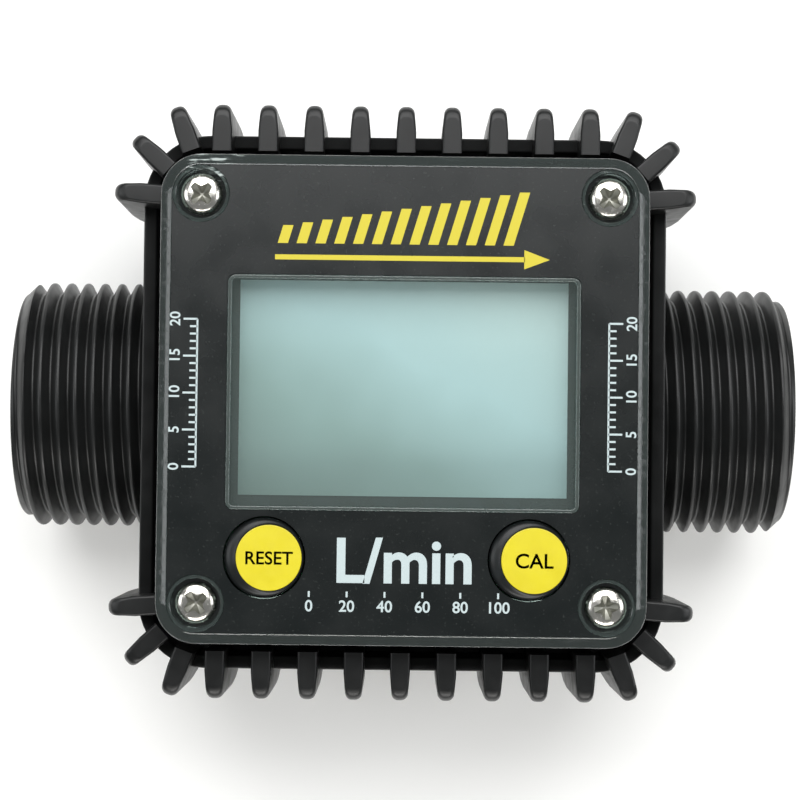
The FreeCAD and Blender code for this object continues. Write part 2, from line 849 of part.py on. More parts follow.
def retaining_ring():
    """Return the open spring ring that keeps the cartridge in."""
    low_x = -shoulder_x - ring_thickness
    outer_r = bore_r + ring_groove_depth - ring_edge_clearance
    inner_r = outer_r - ring_width
    disc = along_pipe(outer_r, low_x, -shoulder_x)
    ring = disc.cut(along_pipe(inner_r, low_x, -shoulder_x))
    reach = 2 * outer_r
    half = math.radians(ring_gap_angle / 2)
    centre = Vec(low_x, 0, axis_height)
    left = Vec(low_x, -reach * math.sin(half), axis_height + reach * math.cos(half))
    right = Vec(low_x, reach * math.sin(half), axis_height + reach * math.cos(half))
    gap = Part.Face(Part.makePolygon([centre, left, right, centre])).extrude(Vec(ring_thickness, 0, 0))
    ring = ring.cut(gap)
    eye_angle = half + ring_eye_d / (2 * inner_r)
    for side in (-1, 1):
        y = side * inner_r * math.sin(eye_angle)
        z = axis_height + inner_r * math.cos(eye_angle)
        ring = ring.fuse(Part.makeCylinder(ring_eye_d / 2, ring_thickness, Vec(low_x, y, z), X_AXIS))
        ring = ring.cut(Part.makeCylinder(ring_eye_hole_d / 2, ring_thickness, Vec(low_x, y, z), X_AXIS))
    return ring.common(disc).removeSplitter()


def rotor_blade():
    """Return one twisted blade, standing up from the hub."""
    half_x = rotor_length / 2
    half_t = blade_thickness / 2
    root_z = axis_height + rotor_hub_d / 2 - blade_root
    tip_z = axis_height + math.sqrt((bore_r - rotor_tip_gap) ** 2 - half_t**2)
    wires = []
    section = ((-half_t, root_z), (half_t, root_z), (half_t, tip_z), (-half_t, tip_z))
    for index in range(blade_sections):
        share = index / (blade_sections - 1)
        x = -half_x + share * rotor_length
        points = [Vec(x, y, z) for y, z in section]
        wire = Part.makePolygon(points + points[:1])
        wire.rotate(Vec(0, 0, axis_height), X_AXIS, blade_twist * (share - 0.5))
        wires.append(wire)
    return Part.makeLoft(wires, True, False)


def magnet_places():
    """Yield the angle of each rotor magnet, midway between blades."""
    step = 360 / rotor_blades
    yield step / 2
    yield step / 2 + 180


def magnet(diameter, extra):
    """Return a radial magnet plug at the top of the hub; extra lengthens it outwards."""
    base_z = axis_height + rotor_hub_d / 2 - magnet_inset - magnet_length
    return upright(diameter, base_z, base_z + magnet_length + extra)


def turbine_rotor():
    """Return the bladed rotor with its shaft bore and magnet pockets."""
    half_x = rotor_length / 2
    hub = along_pipe(rotor_hub_d / 2, -half_x, half_x)
    blade = rotor_blade()
    blades = [spun_about_pipe(blade, index * 360 / rotor_blades) for index in range(rotor_blades)]
    rotor = fuse_all([hub] + blades)
    cuts = [along_pipe(shaft_d / 2, -half_x, half_x)]
    pocket = magnet(magnet_d + 2 * magnet_clearance, rotor_hub_d)
    for angle in magnet_places():
        cuts.append(spun_about_pipe(pocket, angle))
    return rotor.cut(cuts)


def rotor_magnets():
    """Return the two magnets that the reed switch senses."""
    return Part.makeCompound([spun_about_pipe(magnet(magnet_d, 0), angle) for angle in magnet_places()])


def rotor_shaft():
    """Return the rotor's steel shaft."""
    return along_pipe(shaft_d / 2, -shaft_length / 2, shaft_length / 2)


def thrust_washers():
    """Return the two washers between the rotor's hub and the bushes."""
    inner_x = rotor_length / 2
    outer_x = rotor_space / 2 - bush_proud - washer_end_gap
    washer = along_pipe(washer_d / 2, inner_x, outer_x)
    washer = washer.cut(along_pipe(shaft_d / 2, inner_x, outer_x))
    return Part.makeCompound([washer, inlet_side(washer)])


# ---------------------------------------------------------------- all pieces
def pieces():
    """Return each node's name with its shape."""
    nodes = {
        "meter_body": meter_body(),
        "inlet_end": inlet_end(),
        "outlet_end": outlet_end(),
        "cover_inserts": cover_inserts(),
        "cover_screws": cover_screws(),
        "module_gasket": module_gasket(),
        "module_case": module_case(),
        "cell_springs": cell_springs(),
        "cell_contacts": cell_contacts(),
        "circuit_board": circuit_board(),
        "controller_chip": board_part((chip_size, chip_size, chip_height), chip_centre),
        "quartz_crystal": board_part(crystal_size, crystal_centre),
        "buffer_capacitor": board_part(capacitor_size, capacitor_centre),
        "reed_switch": reed_switch(),
        "lcd_glass": lcd_glass(),
        "lcd_polariser": lcd_polariser(),
        "zebra_strips": zebra_strips(),
        "lcd_bezel": lcd_bezel(),
        "front_cover": front_cover(),
        "face_label": face_label(),
        "outlet_straightener": flow_straightener(),
        "inlet_straightener": inlet_side(flow_straightener()),
        "outlet_bush": bearing_bush(),
        "inlet_bush": inlet_side(bearing_bush()),
        "retaining_ring": retaining_ring(),
        "turbine_rotor": turbine_rotor(),
        "rotor_magnets": rotor_magnets(),
        "rotor_shaft": rotor_shaft(),
        "thrust_washers": thrust_washers(),
    }
    for name, y, direction in cell_sides():
        nodes["cell_" + name] = cell(y, direction)
    for name, x in button_places():
        nodes[name + "_boot"] = button_boot(x)
        nodes[name + "_cap"] = button_cap(x)
        nodes[name + "_plunger"] = switch_plunger(x)
        nodes[name + "_switch"] = switch_body(x)
    return nodes


def main():
    """Write one STEP file per node and print its size."""
    os.makedirs("parts", exist_ok=True)
    for name, shape in pieces().items():
        shape.exportStep(f"parts/{name}.step")
        box = shape.BoundBox
        print(f"{name}: {len(shape.Solids)} solids, {shape.Volume:.1f} mm3, valid {shape.isValid()},"
              f" {box.XLength:.2f} x {box.YLength:.2f} x {box.ZLength:.2f}")


main()
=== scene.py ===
"""In-line turbine flow meter: its looks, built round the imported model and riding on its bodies."""

import json
import logging
import math
from collections.abc import Callable, Iterable, Sequence
from dataclasses import dataclass, field
from enum import Enum

import bmesh
import bpy
from mathutils import Matrix, Vector

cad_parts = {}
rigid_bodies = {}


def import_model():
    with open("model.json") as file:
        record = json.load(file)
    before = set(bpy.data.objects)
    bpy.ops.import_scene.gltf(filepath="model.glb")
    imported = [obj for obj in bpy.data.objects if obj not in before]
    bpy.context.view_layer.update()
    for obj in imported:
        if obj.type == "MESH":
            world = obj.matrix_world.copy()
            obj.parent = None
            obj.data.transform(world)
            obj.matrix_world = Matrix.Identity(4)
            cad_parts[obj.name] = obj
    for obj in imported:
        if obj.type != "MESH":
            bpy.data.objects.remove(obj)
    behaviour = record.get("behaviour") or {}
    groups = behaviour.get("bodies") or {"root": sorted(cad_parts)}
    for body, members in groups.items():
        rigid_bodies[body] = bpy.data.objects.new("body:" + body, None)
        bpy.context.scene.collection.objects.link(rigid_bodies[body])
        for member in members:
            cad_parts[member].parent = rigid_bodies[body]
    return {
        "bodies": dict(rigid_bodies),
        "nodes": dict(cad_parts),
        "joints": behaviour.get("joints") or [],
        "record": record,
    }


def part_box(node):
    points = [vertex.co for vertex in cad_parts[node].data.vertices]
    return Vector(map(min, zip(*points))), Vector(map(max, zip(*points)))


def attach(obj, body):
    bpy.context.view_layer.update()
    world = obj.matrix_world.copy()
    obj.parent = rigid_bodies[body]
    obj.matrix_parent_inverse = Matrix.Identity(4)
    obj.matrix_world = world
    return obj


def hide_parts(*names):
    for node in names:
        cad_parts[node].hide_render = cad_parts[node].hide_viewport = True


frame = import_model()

log = logging.getLogger("flow_meter")
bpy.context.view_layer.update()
MM = 0.001
SHARP_ANGLE = math.radians(32)
FOLD_ANGLE = math.radians(25)
QUARTER_STEPS = 12
Colour = tuple[float, float, float, float]
Point = tuple[float, float]
EdgeTest = Callable[[bmesh.types.BMEdge], bool]


class Body(Enum):
    """The moving bodies that pieces ride on."""

    METER = "meter"
    ROTOR = "rotor"
    RESET = "reset_button"
    CAL = "cal_button"


class Turn(Enum):
    """Which way a line of print runs, as its angle in degrees."""

    LEVEL = 0.0
    UPWARDS = 90.0


# ---------------------------------------------------------------- node helpers
def linear(code: str) -> Colour:
    """Turn a colour from sRGB hex to linear.

    Args:
        code: Six hex digits, with or without a hash.

    Returns:
        Linear red, green and blue with an alpha of one.
    """
    digits = code.lstrip("#")
    shares = [int(digits[i : i + 2], 16) / 255 for i in (0, 2, 4)]
    red, green, blue = (s / 12.92 if s <= 0.04045 else ((s + 0.055) / 1.055) ** 2.4 for s in shares)
    return red, green, blue, 1.0


def add_node(
    tree: bpy.types.NodeTree,
    kind: str,
    inputs: dict[str | int, object] | None = None,
    **settings: object,
) -> bpy.types.Node:
    """Add a node with its settings, and set or link its inputs.

    Args:
        tree: The material's node tree.
        kind: The node's type name.
        inputs: Input name or index to a value, or to an output socket to link from.
        settings: Properties to set on the node itself.

    Returns:
        The new node.
    """
    node = tree.nodes.new(kind)
    for name, value in settings.items():
        setattr(node, name, value)
    for name, value in (inputs or {}).items():
        if isinstance(value, bpy.types.NodeSocket):
            tree.links.new(value, node.inputs[name])
        else:
            node.inputs[name].default_value = value
    return node


def per_metre(size_mm: float) -> float:
    """Return the texture scale whose features repeat about every size_mm millimetres."""
    # Object coordinates are in metres and a scale of 1 repeats once a metre, so 0.16 mm is a scale of 6250.
    return 1.0 / (size_mm * MM)


# ---------------------------------------------------------------- finishes
@dataclass(frozen=True)
class Finish:
    """A surface: one shader with its typical values, and the patterns that a subclass adds.

    Attributes:
        name: The material's name.
        colour: Base colour, sRGB hex.
        roughness: Mean roughness.
        metallic: One for bare metal.
        ior: Index of refraction, left at its default on metals.
        transmission: Share of light that goes through.
    """

    name: str
    colour: str
    roughness: float
    metallic: float = 0.0
    ior: float = 1.5
    transmission: float = 0.0

    def build(self) -> bpy.types.Material:
        """Make the material, or return the one made before under the same name.

        Returns:
            The finished material.
        """
        known = bpy.data.materials.get(self.name)
        if known:
            return known
        material = bpy.data.materials.new(self.name)
        material.use_nodes = True
        material.diffuse_color = linear(self.colour)
        tree = material.node_tree
        shader = tree.nodes["Principled BSDF"]
        shader.inputs["Base Color"].default_value = linear(self.colour)
        shader.inputs["Roughness"].default_value = self.roughness
        shader.inputs["Metallic"].default_value = self.metallic
        shader.inputs["Transmission Weight"].default_value = self.transmission
        if not self.metallic:
            shader.inputs["IOR"].default_value = self.ior
        self.dress(tree, shader)
        return material

    def dress(self, tree: bpy.types.NodeTree, shader: bpy.types.Node) -> None:
        """Add the finish's patterns; a plain finish has none."""

    def place(
        self, tree: bpy.types.NodeTree, stretch: Sequence[float] = (1, 1, 1)
    ) -> bpy.types.NodeSocket:
        """Return object coordinates, stretched along each axis.

        Args:
            tree: The material's node tree.
            stretch: Factors on each axis.

        Returns:
            The stretched coordinates' socket.
        """
        coords = add_node(tree, "ShaderNodeTexCoord")
        inputs = {"Vector": coords.outputs["Object"], "Scale": stretch}
        return add_node(tree, "ShaderNodeMapping", inputs).outputs["Vector"]

    def noise(
        self,
        tree: bpy.types.NodeTree,
        size_mm: float,
        stretch: Sequence[float] = (1, 1, 1),
        detail: float = 3.0,
    ) -> bpy.types.NodeSocket:
        """Return a noise value whose grains are about size_mm across.

        Args:
            tree: The material's node tree.
            size_mm: Grain size in millimetres.
            stretch: Factors on each axis, above one for finer.
            detail: Octaves of finer noise.

        Returns:
            The noise's factor socket.
        """
        inputs = {"Vector": self.place(tree, stretch), "Scale": per_metre(size_mm), "Detail": detail}
        return add_node(tree, "ShaderNodeTexNoise", inputs).outputs[0]

    def spread(
        self, tree: bpy.types.NodeTree, value: bpy.types.NodeSocket, low: float, high: float
    ) -> bpy.types.NodeSocket:
        """Map the middle of a noise, where nearly all of it lies, to the range from low to high."""
        inputs = {0: value, 1: 0.3, 2: 0.7, 3: low, 4: high}
        return add_node(tree, "ShaderNodeMapRange", inputs).outputs[0]

    def relief(
        self,
        tree: bpy.types.NodeTree,
        shader: bpy.types.Node,
        height: bpy.types.NodeSocket,
        depth_mm: float,
        strength: float = 1.0,
    ) -> None:
        """Raise the surface by a height pattern of a real depth.

        Args:
            tree: The material's node tree.
            shader: The surface shader.
            height: The pattern.
            depth_mm: Its depth in millimetres.
            strength: Share of it that shows.
        """
        inputs = {"Height": height, "Distance": depth_mm * MM, "Strength": strength}
        bump = add_node(tree, "ShaderNodeBump", inputs)
        tree.links.new(bump.outputs["Normal"], shader.inputs["Normal"])

    def blend(
        self,
        tree: bpy.types.NodeTree,
        factor: bpy.types.NodeSocket,
        stops: Sequence[tuple[float, str]],
    ) -> bpy.types.NodeSocket:
        """Return colours along a ramp.

        Args:
            tree: The material's node tree.
            factor: Where on the ramp.
            stops: Pairs of position and sRGB hex.

        Returns:
            The ramp's colour socket.
        """
        ramp = add_node(tree, "ShaderNodeValToRGB", {0: factor})
        elements = ramp.color_ramp.elements
        while len(elements) < len(stops):
            elements.new(0.5)
        for element, (position, code) in zip(elements, stops):
            element.position = position
            element.color = linear(code)
        return ramp.outputs["Color"]


@dataclass(frozen=True)
class MouldedPlastic(Finish):
    """Glass-filled nylon or ABS as it leaves the mould: satin, with fine grain and flow shading.

    Attributes:
        shade: A second colour that the flow shading drifts to.
        grain_mm: Size of the mould's grain. The real one is nearer 0.05 mm, drawn coarser so that it shows.
        grain_depth_mm: Height of the grain.
        drift_mm: Size of the cloudy flow marks.
        gloss_mm: Size of the glossier and duller patches.
    """

    shade: str = "#202221"
    grain_mm: float = 0.16
    grain_depth_mm: float = 0.006
    drift_mm: float = 9.0
    gloss_mm: float = 2.5

    def dress(self, tree: bpy.types.NodeTree, shader: bpy.types.Node) -> None:
        """Add flow shading, uneven gloss and grain.

        Args:
            tree: The material's node tree.
            shader: The surface shader.
        """
        drift = self.noise(tree, self.drift_mm)
        colour = self.blend(tree, drift, ((0.35, self.colour), (0.65, self.shade)))
        tree.links.new(colour, shader.inputs["Base Color"])
        patches = self.noise(tree, self.gloss_mm)
        gloss = self.spread(tree, patches, self.roughness - 0.05, self.roughness + 0.07)
        tree.links.new(gloss, shader.inputs["Roughness"])
        self.relief(tree, shader, self.noise(tree, self.grain_mm), self.grain_depth_mm, 0.6)


@dataclass(frozen=True)
class ClearPolycarbonate(Finish):
    """Moulded clear polycarbonate: slightly green-grey and hazy, with handling scuffs that scatter light.

    Attributes:
        scuff_mm: Length of a scuff's grain.
        scuffed: Roughness where it is scuffed most.
        wave_mm: Length of the moulding's faint waves.
    """

    scuff_mm: float = 1.2
    scuffed: float = 0.28
    wave_mm: float = 4.0

    def dress(self, tree: bpy.types.NodeTree, shader: bpy.types.Node) -> None:
        """Add scuffs as rougher streaks and a faint waviness.

        Args:
            tree: The material's node tree.
            shader: The surface shader.
        """
        streaks = self.noise(tree, self.scuff_mm, (0.5, 1.6, 1.0), 5.0)
        inputs = {0: streaks, 1: 0.5, 2: 0.8, 3: self.roughness, 4: self.scuffed}
        rough = add_node(tree, "ShaderNodeMapRange", inputs)
        tree.links.new(rough.outputs[0], shader.inputs["Roughness"])
        self.relief(tree, shader, self.noise(tree, self.wave_mm), 0.002, 0.4)


@dataclass(frozen=True)
class HandledCover(ClearPolycarbonate):
    """The clear cover after handling: one corner is rubbed white where it has knocked against things.

    Attributes:
        knock: The middle of the rubbed patch, in metres.
        reach_mm: How far the rubbing reaches.
        streak_mm: Length of the rubbed streaks' grain.
        worn: The whitish colour of rubbed plastic.
    """

    knock: tuple[float, float, float] = (-0.0235, 0.0292, 0.053)
    reach_mm: float = 5.5
    streak_mm: float = 0.9
    worn: str = "#c4cdca"

    def dress(self, tree: bpy.types.NodeTree, shader: bpy.types.Node) -> None:
        """Add the rubbed patch over the scuffs.

        Args:
            tree: The material's node tree.
            shader: The surface shader.
        """
        super().dress(tree, shader)
        coords = add_node(tree, "ShaderNodeTexCoord")
        inputs = {0: coords.outputs["Object"], 1: self.knock}
        away = add_node(tree, "ShaderNodeVectorMath", inputs, operation="DISTANCE")
        fade = {0: away.outputs["Value"], 2: self.reach_mm * MM, 3: 0.34, 4: 0.0}
        near = add_node(tree, "ShaderNodeMapRange", fade)
        streaks = self.noise(tree, self.streak_mm, (0.4, 2.2, 1.0), 5.0)
        summed = add_node(tree, "ShaderNodeMath", {0: streaks, 1: near.outputs[0]})
        rubbed = add_node(tree, "ShaderNodeMapRange", {0: summed.outputs[0], 1: 0.72, 2: 0.86}).outputs[0]
        colour = self.blend(tree, rubbed, ((0.0, self.colour), (1.0, self.worn)))
        tree.links.new(colour, shader.inputs["Base Color"])
        clear = add_node(tree, "ShaderNodeMapRange", {0: rubbed, 3: self.transmission, 4: 0.35})
        tree.links.new(clear.outputs[0], shader.inputs["Transmission Weight"])


@dataclass(frozen=True)
class WindowPane(Finish):
    """The cover's polished window: thin enough to bend nothing, so it only veils and reflects.

    Attributes:
        veil: Share of the light that its surface holds back.
    """

    veil: float = 0.07

    def dress(self, tree: bpy.types.NodeTree, shader: bpy.types.Node) -> None:
        """Make it see-through."""
        shader.inputs["Alpha"].default_value = self.veil


@dataclass(frozen=True)
class PrintedFilm(Finish):
    """Screen-printed polyester film: satin black, with the print's fine orange peel and a little dust.

    Attributes:
        peel_mm: Size of the orange peel's dimples.
        gloss_mm: Size of the glossier and duller patches.
        dust_mm: Size of a speck of dust.
        dust: The dust's colour.
    """

    peel_mm: float = 0.5
    gloss_mm: float = 6.0
    dust_mm: float = 0.35
    dust: str = "#333735"

    def dress(self, tree: bpy.types.NodeTree, shader: bpy.types.Node) -> None:
        """Add uneven gloss, dust and orange peel.

        Args:
            tree: The material's node tree.
            shader: The surface shader.
        """
        patches = self.noise(tree, self.gloss_mm)
        gloss = self.spread(tree, patches, self.roughness - 0.04, self.roughness + 0.05)
        tree.links.new(gloss, shader.inputs["Roughness"])
        specks = self.noise(tree, self.dust_mm, detail=5.0)
        colour = self.blend(tree, specks, ((0.62, self.colour), (0.8, self.dust)))
        tree.links.new(colour, shader.inputs["Base Color"])
        self.relief(tree, shader, self.noise(tree, self.peel_mm), 0.002, 0.4)


@dataclass(frozen=True)
class DisplayFilm(Finish):
    """The display's rear-reflecting polariser behind blank crystal: a pale grey-green, with light and shade
    painted across it.

    Attributes:
        node: The CAD node whose box the drift is laid out on.
        rise: How much of the painted shading runs up the display.
        across: How much of it runs from left to right.
        cloud: How much of it is cloud.
        cloud_mm: Size of a cloud.
        speckle_mm: Size of the film's speckle.
        stops: The painted shading's colours, from the darker lower left to the lighter upper right.
    """

    node: str = "lcd_polariser"
    rise: float = 0.5
    across: float = 0.42
    cloud: float = 0.22
    cloud_mm: float = 16.0
    speckle_mm: float = 0.22
    stops: tuple[tuple[float, str], ...] = (
        (0.1, "#4f635d"),
        (0.4, "#718d89"),
        (0.65, "#94b3b4"),
        (0.95, "#a2bcba"),
    )

    def dress(self, tree: bpy.types.NodeTree, shader: bpy.types.Node) -> None:
        """Add painted shading, darker at the lower left and lighter at the upper right and broken by cloud,
        and a fine speckle.

        Args:
            tree: The material's node tree.
            shader: The surface shader.
        """
        low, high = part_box(self.node)
        span = high - low
        coords = add_node(tree, "ShaderNodeTexCoord")
        centred = add_node(
            tree,
            "ShaderNodeMapping",
            {
                "Vector": coords.outputs["Object"],
                "Location": (-low.x / span.x, -low.y / span.y, 0.0),
                "Scale": (1 / span.x, 1 / span.y, 1.0),
            },
        )
        # Painted shading: the colour runs from dark at the lower left to light at the upper right.
        split = add_node(tree, "ShaderNodeSeparateXYZ", {0: centred.outputs[0]})
        sideways = {0: split.outputs["X"], 1: self.across}
        across = add_node(tree, "ShaderNodeMath", sideways, operation="MULTIPLY")
        upwards = {0: split.outputs["Y"], 1: self.rise, 2: across.outputs[0]}
        painted_shading_slope = add_node(tree, "ShaderNodeMath", upwards, operation="MULTIPLY_ADD")
        clouds = {0: self.noise(tree, self.cloud_mm, detail=2.0), 1: self.cloud, 2: painted_shading_slope.outputs[0]}
        drift = add_node(tree, "ShaderNodeMath", clouds, operation="MULTIPLY_ADD")
        colour = self.blend(tree, drift.outputs[0], self.stops)
        speckle = self.noise(tree, self.speckle_mm, detail=2.0)
        mixed = add_node(
            tree,
            "ShaderNodeMix",
            {"Factor": self.spread(tree, speckle, 0.0, 0.1), 6: colour, 7: linear("#7f918b")},
            data_type="RGBA",
        )
        tree.links.new(mixed.outputs[2], shader.inputs["Base Color"])


@dataclass(frozen=True)
class PlatedMetal(Finish):
    """Plated or turned metal: mirror-like over fine tool marks.

    Attributes:
        mark_mm: Spacing of the tool marks.
        stretch: Which way the marks run, finer along the larger factors.
    """

    mark_mm: float = 0.3
    stretch: tuple[float, float, float] = (1.0, 1.0, 1.0)

    def dress(self, tree: bpy.types.NodeTree, shader: bpy.types.Node) -> None:
        """Add uneven gloss and tool marks.

        Args:
            tree: The material's node tree.
            shader: The surface shader.
        """
        marks = self.noise(tree, self.mark_mm, self.stretch, 4.0)
        gloss = self.spread(tree, marks, self.roughness - 0.05, self.roughness + 0.12)
        tree.links.new(gloss, shader.inputs["Roughness"])
        self.relief(tree, shader, marks, 0.003, 0.5)


@dataclass(frozen=True)
class MouldedRubber(Finish):
    """Silicone or nitrile rubber: a soft gloss under a matt bloom.

    Attributes:
        bloom: The lighter colour of the bloom.
        bloom_mm: Size of its patches.
        skin_mm: Size of the skin's grain.
    """

    bloom: str = "#2a2c2b"
    bloom_mm: float = 1.8
    skin_mm: float = 0.25

    def dress(self, tree: bpy.types.NodeTree, shader: bpy.types.Node) -> None:
        """Add bloom and a fine skin.

        Args:
            tree: The material's node tree.
            shader: The surface shader.
        """
        patches = self.noise(tree, self.bloom_mm)
        colour = self.blend(tree, patches, ((0.4, self.colour), (0.75, self.bloom)))
        tree.links.new(colour, shader.inputs["Base Color"])
        self.relief(tree, shader, self.noise(tree, self.skin_mm), 0.004, 0.5)


@dataclass(frozen=True)
class PrintInk(Finish):
    """Printing ink: flat and opaque, a touch uneven where it was laid thinner.

    Attributes:
        patch_mm: Size of the glossier and duller patches.
    """

    patch_mm: float = 0.5

    def dress(self, tree: bpy.types.NodeTree, shader: bpy.types.Node) -> None:
        """Add an uneven gloss.

        Args:
            tree: The material's node tree.
            shader: The surface shader.
        """
        patches = self.noise(tree, self.patch_mm)
        uneven = self.spread(tree, patches, self.roughness - 0.08, self.roughness + 0.08)
        tree.links.new(uneven, shader.inputs["Roughness"])


@dataclass(frozen=True)
class GlossMoulding(Finish):
    """Injection-moulded gloss plastic: bright colour, a slight unevenness and fine handling dust.

    Attributes:
        tint: The colour that faint patches drift to.
        patch_mm: Size of those patches.
        gloss_mm: Size of the glossier and duller patches.
        dust_mm: Size of the dust's grain.
    """

    tint: str = "#dccb2a"
    patch_mm: float = 3.0
    gloss_mm: float = 1.0
    dust_mm: float = 0.3

    def dress(self, tree: bpy.types.NodeTree, shader: bpy.types.Node) -> None:
        """Add patches and an uneven gloss.

        Args:
            tree: The material's node tree.
            shader: The surface shader.
        """
        patches = self.noise(tree, self.patch_mm)
        colour = self.blend(tree, patches, ((0.4, self.colour), (0.75, self.tint)))
        tree.links.new(colour, shader.inputs["Base Color"])
        shine = self.noise(tree, self.gloss_mm)
        gloss = self.spread(tree, shine, self.roughness - 0.04, self.roughness + 0.06)
        tree.links.new(gloss, shader.inputs["Roughness"])
        self.relief(tree, shader, self.noise(tree, self.dust_mm), 0.002, 0.3)


# Housing, fins and pipe ends: near-black satin, so the lights draw soft grey gradients along the fins
# and the thread. Its index of refraction is set below nylon's real 1.53 to keep those gradients dark.
BODY_NYLON = MouldedPlastic("black_glass_filled_nylon", "#0e0f0f", 0.36, ior=1.4, shade="#171818")
# Display module and small housings inside: a matt black band under the cover's clear edge.
CASE_ABS = MouldedPlastic("black_moulded_abs", "#151716", 0.38, shade="#1b1d1c", grain_mm=0.12)
# Cover: glassy, with a green-grey depth at its bevels and one corner rubbed white.
COVER_CLEAR = HandledCover("clear_polycarbonate", "#7d8c88", 0.05, ior=1.585, transmission=0.9)
# Frame of the window: a paler, slightly frosted line that catches the light.
FRAME_CLEAR = ClearPolycarbonate(
    "polished_polycarbonate_edge", "#6f7c78", 0.14, ior=1.585, transmission=0.75
)
# Window: all but unseen, a thin veil with sharp reflections over the display.
PANE_CLEAR = WindowPane("clear_polycarbonate_window", "#9fb0ab", 0.05, ior=1.585)
# Face film: deep black under a broad soft sheen, with a few specks of dust.
# Its index of refraction is set below polyester's real 1.6 to keep the black deep.
FACE_FILM = PrintedFilm("black_printed_polyester", "#0b1010", 0.27, ior=1.46)
# Bars and arrow: a flat warm yellow on the black.
YELLOW_INK = PrintInk("yellow_screen_ink", "#b9ac24", 0.45)
# Unit and scales: a flat white with a cool cast.
WHITE_INK = PrintInk("white_screen_ink", "#abb8b9", 0.45)
# Words on the caps: thin dark brown strokes, softer than black.
CAP_INK = PrintInk("dark_brown_pad_ink", "#4f2609", 0.5)
# Caps: the brightest colour, a full yellow with a blurred highlight.
CAP_PLASTIC = GlossMoulding("yellow_moulded_abs", "#c5b822", 0.34, tint="#beb01e")
# Boots: a soft black collar round each cap, with a faint dull bloom.
BOOT_RUBBER = MouldedRubber("black_silicone_rubber", "#0c0e0e", 0.36, ior=1.41, bloom="#171b1c")
# Gasket and contact strips inside: dull black.
SEAL_RUBBER = MouldedRubber("black_nitrile_rubber", "#141414", 0.55)
# Screw heads: small bright domes that mirror the lights.
SCREW_NICKEL = PlatedMetal("bright_nickel_plate", "#dcdad2", 0.17, 1.0, mark_mm=0.5)
# Inside the crosses: a duller, darker grey, painted there as the shade in the recesses.
CROSS_PAINTED_SHADE = PlatedMetal("nickel_plate_painted_shade", "#9c9c94", 0.42, 1.0, mark_mm=0.3)
# Blank display: pale grey-green, with painted shading: darker at the lower left, lighter at the upper
# right.
DISPLAY = DisplayFilm("blank_display_polariser", "#a9c0bb", 0.32)
# Edge of the display's glass: a dark glossy line round the film.
DISPLAY_GLASS = GlossMoulding("display_edge_glass", "#1a211f", 0.12, ior=1.52, tint="#20282a")


# ---------------------------------------------------------------- mesh helpers
def sharp_edges(bm: bmesh.types.BMesh, keep: EdgeTest) -> list[bmesh.types.BMEdge]:
    """Return the edges that fold by more than FOLD_ANGLE and pass a test."""
    return [e for e in bm.edges if e.is_manifold and e.calc_face_angle(0.0) > FOLD_ANGLE and keep(e)]


def round_edges(bm: bmesh.types.BMesh, keep: EdgeTest, radius: float, segments: int = 3) -> None:
    """Bevel the folded edges that pass a test.

    Args:
        bm: The shape.
        keep: The test.
        radius: Width of the bevel in millimetres.
        segments: Faces across it.
    """
    bmesh.ops.bevel(
        bm,
        geom=sharp_edges(bm, keep),
        offset=radius,
        offset_type="OFFSET",
        affect="EDGES",
        segments=segments,
        profile=0.5,
        material=-1,
        clamp_overlap=True,
    )


def level_edge(height: float) -> EdgeTest:
    """Return a test for edges that lie at a height."""
    return lambda edge: all(abs(v.co.z - height) < 1e-4 for v in edge.verts)


def rounded_block(
    width: float, height: float, radius: float, low: float, high: float, centre: Point = (0.0, 0.0)
) -> bmesh.types.BMesh:
    """Make a block with round upright edges, in millimetres.

    Args:
        width: Size along X.
        height: Size along Y.
        radius: Radius of the upright edges.
        low: Lowest Z.
        high: Highest Z.
        centre: Middle in plan.

    Returns:
        The block.
    """
    bm = bmesh.new()
    bmesh.ops.create_cube(bm, size=1.0)
    bmesh.ops.scale(bm, vec=(width, height, high - low), verts=bm.verts)
    bmesh.ops.translate(bm, vec=(centre[0], centre[1], (low + high) / 2), verts=bm.verts)
    upright = [e for e in bm.edges if abs(e.verts[0].co.z - e.verts[1].co.z) > 1e-6]
    bmesh.ops.bevel(
        bm,
        geom=upright,
        offset=radius,
        offset_type="OFFSET",
        affect="EDGES",
        segments=QUARTER_STEPS,
        profile=0.5,
        material=-1,
    )
    return bm


def lathe(profile: Sequence[Point], axis: Vector, origin: Vector, steps: int = 72) -> bmesh.types.BMesh:
    """Spin a profile right round an axis.

    Args:
        profile: Pairs of place along the axis and radius, in millimetres.
        axis: The axis, along X or Z.
        origin: A point on it.
        steps: Faces round the axis.

    Returns:
        The turned shape, closed where the profile meets the axis.
    """
    bm = bmesh.new()
    side = Vector((0, 0, 1)) if abs(axis.x) > 0.5 else Vector((1, 0, 0))
    verts = [bm.verts.new(origin + axis * along + side * radius) for along, radius in profile]
    edges = [bm.edges.new(pair) for pair in zip(verts, verts[1:])]
    bmesh.ops.spin(
        bm,
        geom=verts + edges,
        cent=origin,
        axis=axis,
        angle=math.tau,
        steps=steps,
        use_merge=True,
        use_duplicate=False,
    )
    bmesh.ops.remove_doubles(bm, verts=bm.verts, dist=1e-5)
    bmesh.ops.recalc_face_normals(bm, faces=bm.faces)
    return bm


def to_mesh(bm: bmesh.types.BMesh, name: str) -> bpy.types.Mesh:
    """Turn a bmesh in millimetres into a mesh in metres and free it.

    Args:
        bm: The shape.
        name: The mesh's name.

    Returns:
        The mesh.
    """
    bmesh.ops.scale(bm, vec=(MM, MM, MM), verts=bm.verts)
    mesh = bpy.data.meshes.new(name)
    bm.to_mesh(mesh)
    bm.free()
    return mesh


